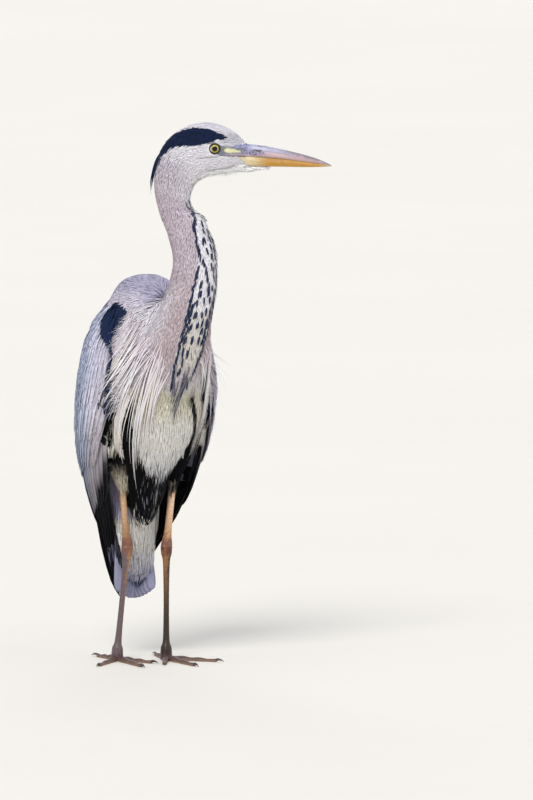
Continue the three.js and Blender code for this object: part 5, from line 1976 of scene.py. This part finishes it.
class HERON_OT_eyes(HeronOperator):
    """Eyes and lids"""

    bl_idname = "heron.eyes"
    bl_label = "Eyes"

    def build(self):
        for side, name in ((1, "left"), (-1, "right")):
            self.ball(side, name)
            self.lid(side, name)

    def ball(self, side, name):
        edges = np.radians([24, 25, 26, 27, 28, 40, 42, 44, 46, 48])  # more rings round pupil and iris
        polar = np.unique(np.concatenate([np.linspace(0.02, np.pi - 0.02, 44), edges]))
        turn = np.linspace(0, 2 * np.pi, 64, False)
        ring = EYE_RADIUS * np.sin(polar)[:, None]
        away = EYE_SIDE + EYE_RADIUS * np.cos(polar)[:, None]
        grid = head_point(ring * np.cos(turn), ring * np.sin(turn), side * (away + 0 * turn))
        points, faces = outward(*loft(grid))
        made = make_object(f"eyeball_{name}", points, faces)
        angle = np.degrees(np.concatenate([np.repeat(polar, 64), [0, np.pi]]))
        spin = np.concatenate([np.tile(turn, len(polar)), [0, 0]])
        rays = 0.5 + 0.5 * np.sin(spin * 37 + 2 * np.sin(spin * 11))
        iris = palette("iris") * (0.84 + 0.18 * rays[:, None])
        iris = blend(iris, palette("iris") * [0.55, 0.42, 0.3], step_down(angle, 28, 33) * 0.85)
        iris = blend(iris, palette("iris") * 0.5, step_up(angle, 39, 43))
        colour = blend(iris, palette("claw") * 0.15, step_up(angle, 42, 46))
        colour = blend(colour, palette("claw") * 0.02, step_down(angle, 26, 28))
        add_tint(made.data, colour)
        f = Finish(f"eye_{name}_finish")
        fleck = f.noise(f.place(), 1500.0, 2.0)
        colour = f.scaled(f.attribute("tint"), f.range(fleck, 0.3, 0.7, 0.92, 1.06))
        gloss = dict(specular_ior_level=0.25, coat_weight=0.3, coat_roughness=0.03)
        made.data.materials.append(f.finished(colour, 0.1, **gloss))
        self.keep(made, "eye", f"eye_{name}")

    def lid(self, side, name):
        turn = np.linspace(0, 2 * np.pi, 72, False)[:, None]
        tube = np.linspace(0, 2 * np.pi, 14, False)[None]
        crinkle = 1 + 0.12 * np.sin(turn * 36) * np.cos(tube)
        wide = 1.35 * crinkle
        ring = 7.2 + wide * np.cos(tube)
        away = EYE_SIDE + 4.9 + wide * np.sin(tube)
        grid = head_point(ring * np.cos(turn) * 1.03, ring * np.sin(turn) * 0.97, side * away)
        index = np.arange(72 * 14).reshape(72, 14)
        after, beside = np.roll(index, -1, 0), np.roll(index, -1, 1)
        quads = np.stack([index, beside, np.roll(after, -1, 1), after], -1).reshape(-1, 4)
        points, faces = outward(grid.reshape(-1, 3), [quads])
        made = make_object(f"eyelid_{name}", points, faces)
        forward, up, _ = head_place(points)
        inner = step_down(np.hypot(forward, up), 6.6, 7.6)
        colour = blend(palette("claw") * 1.3, palette("claw") * 0.4, inner)
        rim = step_up(np.hypot(forward, up), 8.0, 8.6) * step_up(forward, 0, 5)
        colour = blend(colour, "lore", 0.5 * rim)
        add_tint(made.data, colour)
        made.data.materials.append(bare_skin_finish(f"eyelid_{name}_finish", 1200.0, 0.45))
        self.keep(made, "white_feathers")


class HERON_OT_face(HeronOperator):
    """The bare skin between the eyes and the bill"""

    bl_idname = "heron.face"
    bl_label = "Bare Face"

    def build(self):
        places, turns = np.linspace(0, 3.45, 120)[:, None], np.linspace(0, 2 * np.pi, 200, False)[None]
        flat = neck_point(places, turns).reshape(-1, 3)
        bare = step_up(face_depth(flat), -1.6, 0.4)
        forward, up, _ = head_place(flat)
        gape = up - along_line(MOUTH_LINE, forward)
        out = lerp(-3.0, -0.3, bare) - bare * (0.9 * bell(gape, 0.7) - 0.35 * bell(gape - 2.2, 1.0))
        points, faces = outward(*loft(neck_point(places, turns, out.reshape(120, 200))))
        made = make_object("face_skin", points, faces)
        add_tint(made.data, self.colours(points))
        made.data.materials.append(bare_skin_finish("face_skin_finish", 900.0, 0.5))
        self.keep(made, "white_feathers")

    def colours(self, points):
        forward, up, _ = head_place(points)
        rough = speckle(points, 6, 21)
        fine = speckle(points, 2.6, 22)
        colour = palette("lore") * (1 + 0.1 * rough[:, None])
        # pale purple above and behind the yellow patch, darker towards the bill
        above = between(up, 2.6, 9, 1.5) * between(forward, 12, 36, 5)
        colour = blend(colour, palette("frost") * 0.8, above * (0.4 + 0.4 * fine))
        top = blend(palette("bill_top") * [0.72, 0.75, 0.95], "frost", 0.4 * step_up(fine, 0.0, 0.8))
        top = blend(top, "navy", 0.75 * step_up(fine + 0.5 * rough, 0.0, 0.6))
        colour = blend(colour, top, step_up(forward + 3 * rough, 18, 32) * step_up(up, -0.5, 2.5))
        under = blend(palette("bill_top") * 0.6, "bill_side", 0.35 + 0.3 * rough)
        colour = blend(colour, under, step_up(forward, 8, 22) * step_down(up, -8.5, -6.0))
        tail = lerp(6.6, 2.0, step_up(forward, 18, 38)) / 2 * step_up(forward + 1.5 * fine, 11.5, 19) ** 0.6
        middle = lerp(-2.4, -4.4, step_up(forward, 14, 38))
        patch = between(forward + 1.2 * rough, 13.5, 36.5, 1.8)
        patch = patch * step_down(np.abs(up - middle) + 1.2 * fine, tail - 0.8, tail + 1.0) * (0.85 + 0.15 * rough)
        colour = blend(colour, "lore_patch", patch)
        horn = bill_colours(points, True)
        colour = blend(colour, horn, step_up(forward + 2 * rough, 35, 44))
        low = step_down(up, -13.4, -12.2)
        pale = blend("white", "bill_pale", step_up(forward + 3 * fine, 27, 37))
        colour = blend(colour, pale, low * step_up(forward, 24, 30))
        line = bell(up - along_line(MOUTH_LINE, forward), 0.65) * 0.85
        return blend(colour, "claw", line)


# ---------------------------------------------------------------- legs and feet

# Factors on the named colours of each side's leg, which paint light and shade into the skin: the bird's left one stands
# in the shade of the body, so its tarsus, heel and orange are painted darker as shade, while its shank is painted
# lighter;
# the bird's right shank is painted darker as shade, and its tarsus lighter and bluer as a glossy highlight. Then how
# far the garter's feathers go towards black.
LEG_TONES = {
    -1: dict(
        shank=[0.78] * 3, orange=[0.62, 0.48, 0.3], tarsus=[1.45, 1.75, 2.35], heel=[1, 1, 1], garter=(0.0, 0.4)
    ),
    1: dict(
        shank=[1.14, 1.18, 1.36], orange=[0.46, 0.32, 0.18], tarsus=[0.34, 0.34, 0.22], heel=[0.56, 0.36, 0.27],
        garter=(0.7, 1)
    ),
}
LEG_AROUND = 56  # points round a leg
# Share of the length, and radius, of the leg above and below the heel.
SHANK = [(-0.12, 5.0), (0.4, 4.75), (0.75, 5.3), (0.9, 7.3), (1, 8.2)]
TARSUS = [(0, 8.2), (0.07, 7.3), (0.16, 4.8), (0.5, 3.8), (0.88, 4.6), (0.97, 7.6)]

TOES = [
    # name, turn from the front towards the outer side, length, radius, claw length
    ("middle", 2, 88, 4.4, 14),
    ("inner", -27, 62, 4.2, 13),
    ("outer", 44, 76, 4.1, 12),
    ("hind", 172, 50, 4.3, 18),
]


def scutes(along, turn, plate, facing, height):
    """Plates across the side that faces a given way, and small rounded scales round the rest."""
    front = 0.5 + 0.5 * np.cos(turn - facing)
    saw = (along / plate) % 1.0
    plates = height * (np.clip(saw * 5, 0, 1) - 0.35 * saw)
    row = np.floor(along / (plate * 0.5))
    cell = np.cos(turn * 11 + row * np.pi)
    scales = 0.5 * height * (np.abs(np.sin(along / (plate * 0.5) * np.pi)) * (0.6 + 0.4 * np.abs(cell)))
    return lerp(scales, plates, step_up(front, 0.62, 0.8))


class HERON_OT_legs(HeronOperator):
    """The bare legs"""

    bl_idname = "heron.legs"
    bl_label = "Legs"

    def build(self):
        for name, leg in LEGS.items():
            garter, heel, ankle = (np.array(leg[key], float) for key in ("garter", "heel", "ankle"))
            shank = [[*lerp(garter, heel, share), radius] for share, radius in SHANK]
            tarsus = [[*lerp(heel, ankle, share), radius] for share, radius in TARSUS]
            tarsus.append([ankle[0], ankle[1], 1.5, 8.6])
            self.length(f"shank_{name}", shank, leg, 230, 93, True)
            self.length(f"tarsus_{name}", tarsus, leg, 360, 148, False)

    def length(self, node, rows, leg, steps, long, upper):
        facing = -np.pi / 2
        plate, height = (3.6, 0.2) if upper else (4.4, 0.34)
        tones = LEG_TONES[leg["side"]]
        grid = limb(rows, steps, LEG_AROUND, lambda t, turn: scutes(t * long, turn, plate, facing, height))
        around = np.linspace(0, 2 * np.pi, LEG_AROUND, False)
        if not upper:
            grid[..., 2] = np.maximum(grid[..., 2], 0.9)
        points, faces = outward(*loft(grid))
        made = make_object(f"{node}_skin", points, faces)
        t = loft_places(steps, LEG_AROUND)[1]
        turn = np.concatenate([np.tile(around, steps), [0, 0]])
        centre = np.stack([np.interp(t, np.linspace(0, 1, steps), grid[..., k].mean(1)) for k in range(3)], -1)
        medial = 0.5 + 0.5 * unit(points - centre)[:, :2] @ np.array([-0.8 * leg["side"], -0.6])
        rough = speckle(points, 9, 31)
        fine = speckle(points, 3.2, 33)
        if upper:
            down = np.interp(t, [0, 0.25, 0.5, 0.75, 1], [-0.12, 0.4, 0.75, 0.9, 1])
            redder = lerp(1.0, np.array([0.62, 0.5, 0.36]), step_up(down + 0.08 * rough, 0.25, 0.85)[:, None])
            colour = tones["shank"] * palette("shank") * redder
            colour = blend(colour, "heel", 0.95 * step_up(down + 0.06 * rough + 0.05 * fine, 0.7, 0.92))
            colour = blend(colour, "heel", 0.3 * step_up(0.4 * rough + 0.6 * fine, 0.3, 0.8))
            colour = blend(
                colour, palette("shank") * 0.8, 0.5 * step_up(t, 0.8, 0.9) * step_up(fine - 0.3 * rough, 0.2, 0.6)
            )
            # Painted shade: the shank is darker at its top, under the garter's feathers.
            colour = colour * lerp(0.6, 1, step_up(t, 0.05, 0.14))[:, None]
        else:
            orange = palette("shank") * tones["orange"]
            streak = step_up(medial + 0.16 * rough, 0.6, 0.9) * step_down(t, 0.25, 0.6) * 0.85
            colour = blend(palette("tarsus") * tones["tarsus"], orange, streak)
            colour = blend(colour, orange, 0.5 * step_up(fine, 0.1, 0.6) * step_down(t, 0.1, 0.35))
            near_heel = step_down(t + 0.08 * rough + 0.05 * fine, 0.03, 0.2) * 0.9
            colour = blend(colour, palette("heel") * tones["heel"], near_heel)
            colour = blend(colour, "heel", 0.35 * step_up(fine, 0.3, 0.9))
            colour = blend(colour, "toe", step_up(t, 0.88, 0.97))
        # Painted shade: darker in the grooves between the plates and scales.
        grooves = scutes(t * long, turn, plate, facing, 1.0)
        colour = colour * (0.8 + 0.24 * np.clip(grooves, 0, 1)[:, None])
        add_tint(made.data, colour)
        made.data.materials.append(bare_skin_finish(f"{node}_finish", 600.0, 0.33))
        self.keep(made, "leg_skin", node)
        if upper:
            self.garter(node, leg)

    def garter(self, node, leg):
        """Small feathers that end the thigh over the top of the shank."""
        rng = np.random.default_rng(46)
        count = 90
        top, low = np.array(leg["garter"], float), np.array(leg["heel"], float)
        t = np.linspace(0, 1, 5)[None]
        turn = rng.uniform(0, 2 * np.pi, (count, 1))
        start = rng.uniform(-0.2, -0.04, (count, 1))
        down = start + lerp(0, 0.17, t) * rng.uniform(0.8, 1.3, (count, 1))
        ring = np.stack([np.cos(turn), np.sin(turn), 0 * turn], -1)
        thick = np.interp(down, [-0.2, -0.05, 0.15], [7.6, 6.4, 5.5]) + rng.uniform(-0.3, 0.4, (count, 1))
        middles = lerp(top, low, down[..., None]) + ring * thick[..., None]
        halves = tapered(rng, (0.7, 1.2), middles, [0, 0.4, 1], [0.8, 1, 0.12])
        darker = rng.uniform(*LEG_TONES[leg["side"]]["garter"], (count, 1))
        tints = lerp(palette("thigh"), palette("black"), darker)
        outs = np.broadcast_to(ring, middles.shape)
        self.keep(vanes(f"garter_{node}", middles, outs, halves, 0.2, tints), "thigh_feathers")


class HERON_OT_feet(HeronOperator):
    """Toes and claws"""

    bl_idname = "heron.feet"
    bl_label = "Feet"

    def build(self):
        for name, leg in LEGS.items():
            for toe in TOES:
                self.toe(name, leg, *toe)
                self.claw(name, leg, *toe)

    def frame_of(self, leg, turn):
        angle = math.radians(turn) * leg["side"]
        way = np.array([math.sin(angle), -math.cos(angle), 0])
        return np.array([leg["ankle"][0], leg["ankle"][1], 0.0]), way, np.array([-way[1], way[0], 0])

    def toe(self, name, leg, toe, turn, length, radius, _):
        start, way, across = self.frame_of(leg, turn)
        reach = np.linspace(3, length, 190)[:, None]
        t = reach / length
        angle = np.linspace(-0.16 * np.pi, 1.16 * np.pi, 33)[None]
        joint = 1 + 0.1 * np.cos(t * 6 * np.pi)
        plate = (reach / 3.7) % 1.0
        above = step_up(np.sin(angle), 0.1, 0.5)
        plates = 0.3 * (np.clip(plate * 5, 0, 1) - 0.35 * plate) * above
        pads = 0.18 * np.abs(np.sin(reach * np.pi / 2.4)) * np.abs(np.sin(angle * 9)) * (1 - above)
        thick = radius * lerp(1.25, 0.72, t) * joint - 0.35 + plates + pads
        thick = thick * np.where(t > 0.985, 0.8, 1)
        height = np.maximum(0, thick * (0.49 + np.sin(angle)) * 0.95)
        height[:, [0, -1]] = 0
        grid = start + way * reach[..., None] + across * (thick * np.cos(angle))[..., None]
        grid[..., 2] = height + 0.05
        points, faces = outward(*loft(grid))
        made = make_object(f"toe_{toe}_{name}_skin", points, faces)
        top = step_up(points[:, 2], 1, 5)
        rough = speckle(points, 8, 35)
        colour = blend("toe", "tarsus", 0.4 + 0.3 * rough)
        colour = blend(colour, "shank", 0.22 * (1 - top))
        # Painted shade: darker in the groove where each plate starts.
        grooves = np.concatenate([np.repeat((np.clip(plate * 5, 0, 1)).ravel(), 33), [1, 1]])
        add_tint(made.data, colour * (0.72 + 0.32 * grooves[:, None]))
        made.data.materials.append(bare_skin_finish(f"toe_{toe}_{name}_finish", 600.0, 0.5))
        self.keep(made, "foot_skin", f"toe_{toe}_{name}")

    def claw(self, name, leg, toe, turn, length, radius, claw):
        start, way, across = self.frame_of(leg, turn)
        base = radius * 0.5
        t = np.linspace(0, 1, 40)[:, None]
        lift = np.interp(t, [0, 0.3, 0.65, 1], [0, 0.9, 0.4, -1.9])
        thick = np.interp(t, [0, 0.3, 0.65, 0.9, 1], [base, base * 0.85, base * 0.55, 0.5, 0.25])
        angle = np.linspace(0, 2 * np.pi, 24, False)[None]
        reach = length - 0.5 + (claw + 0.8) * t
        grid = start + way * reach[..., None] + across * (thick * 0.86 * np.cos(angle))[..., None]
        grid = grid + np.array([0, 0, 1]) * (base + 0.9 + lift + thick * np.sin(angle))[..., None]
        grid[..., 2] = np.maximum(grid[..., 2], 0.05)
        points, faces = outward(*loft(grid))
        made = make_object(f"claw_{toe}_{name}_horn", points, faces)
        around, high = loft_places(len(t), angle.size)
        colour = blend("toe", "claw", step_up(high, 0.0, 0.3))
        add_tint(made.data, colour)
        add_map(made.data, "vane", np.stack([around, high], -1))
        made.data.materials.append(horn_finish(f"claw_{toe}_{name}_finish", 0.3))
        self.keep(made, "claw", f"claw_{toe}_{name}")


CREAM_FLOOR = shade("DDD9D2")


class HERON_OT_stage(HeronOperator):
    """The floor, the studio light and the camera"""

    bl_idname = "heron.stage"
    bl_label = "Stage"

    def build(self):
        scene = bpy.context.scene
        mesh = bpy.data.meshes.new("floor")
        mesh.from_pydata([(-16, -16, 0), (16, -16, 0), (16, 16, 0), (-16, 16, 0)], [], [(0, 1, 2, 3)])
        floor = bpy.data.objects.new("floor", mesh)
        scene.collection.objects.link(floor)
        f = Finish("studio_floor")
        cloud = f.noise(f.place(), 1.3, 4.0)
        colour = f.scaled((*CREAM_FLOOR, 1), f.range(cloud, 0.3, 0.7, 0.985, 1.01))
        mesh.materials.append(f.finished(colour, 0.8, specular_ior_level=0.2))
        world = bpy.data.worlds.new("studio")
        world.use_nodes = True
        world.node_tree.nodes["Background"].inputs[0].default_value = (0.9, 0.94, 1.0, 1)
        world.node_tree.nodes["Background"].inputs[1].default_value = 0.74
        scene.world = world
        lamps = [
            ("key", (-1.8, -1.9, 3.0), 2.1, 24, (1.0, 0.97, 0.93)),
            ("fill", (2.6, -1.6, 1.6), 0.45, 60, (0.94, 0.97, 1.0)),
            ("rim", (1.2, 2.6, 2.2), 0.5, 40, (1.0, 0.98, 0.95)),
        ]
        for name, place, strength, width, colour in lamps:
            data = bpy.data.lights.new(name, "SUN")
            data.energy, data.angle, data.color = strength, math.radians(width), colour
            lamp = bpy.data.objects.new(name, data)
            lamp.location = place
            lamp.rotation_euler = (Vector((0, 0, 0.4)) - Vector(place)).to_track_quat("-Z", "Y").to_euler()
            scene.collection.objects.link(lamp)
        scene.view_settings.view_transform = "Standard"
        self.add_camera(scene)

    def add_camera(self, scene):
        azimuth, elevation, distance = math.radians(-25), math.radians(6), 30000.0
        level = math.cos(elevation)
        back = np.array([math.sin(azimuth) * level, -math.cos(azimuth) * level, math.sin(elevation)])
        right = np.array([math.cos(azimuth), math.sin(azimuth), 0])
        up = np.cross(back, right)
        aim = right * 177.5 + up * 369.2  # the middle of the picture, from between the feet
        data = bpy.data.cameras.new("camera")
        data.lens = bpy.context.scene.heron_sizes.lens
        data.sensor_width = 36
        data.clip_end = 120
        camera = bpy.data.objects.new("camera", data)
        camera.location = in_row_frame(aim + back * distance)[0]
        camera.rotation_euler = Vector(-back).to_track_quat("-Z", "Y").to_euler()
        scene.collection.objects.link(camera)
        scene.camera = camera


# ---------------------------------------------------------------- panel and main

OPERATORS = [
    HERON_OT_skin,
    HERON_OT_head_feathers,
    HERON_OT_neck_feathers,
    HERON_OT_body_feathers,
    HERON_OT_wings,
    HERON_OT_tail,
    HERON_OT_plumes,
    HERON_OT_bill,
    HERON_OT_eyes,
    HERON_OT_face,
    HERON_OT_legs,
    HERON_OT_feet,
    HERON_OT_stage,
]


class HERON_PT_panel(bpy.types.Panel):
    """Lists what builds the heron"""

    bl_label = "Grey Heron"
    bl_idname = "HERON_PT_panel"
    bl_space_type = "VIEW_3D"
    bl_region_type = "UI"
    bl_category = "Heron"

    def draw(self, context):
        for operator in OPERATORS:
            self.layout.operator(operator.bl_idname)
        for group in (context.scene.heron_sizes, context.scene.heron_colours):
            box = self.layout.box()
            for name in group.__annotations__:
                box.prop(group, name)


CLASSES = [HeronColours, HeronSizes, *OPERATORS, HERON_PT_panel]


def register():
    for cls in CLASSES:
        bpy.utils.register_class(cls)
    bpy.types.Scene.heron_colours = PointerProperty(type=HeronColours)
    bpy.types.Scene.heron_sizes = PointerProperty(type=HeronSizes)


def unregister():
    del bpy.types.Scene.heron_sizes
    del bpy.types.Scene.heron_colours
    for cls in reversed(CLASSES):
        bpy.utils.unregister_class(cls)


def main():
    register()
    for operator in OPERATORS:
        group, name = operator.bl_idname.split(".")
        getattr(getattr(bpy.ops, group), name)()


if __name__ == "__main__":
    main()
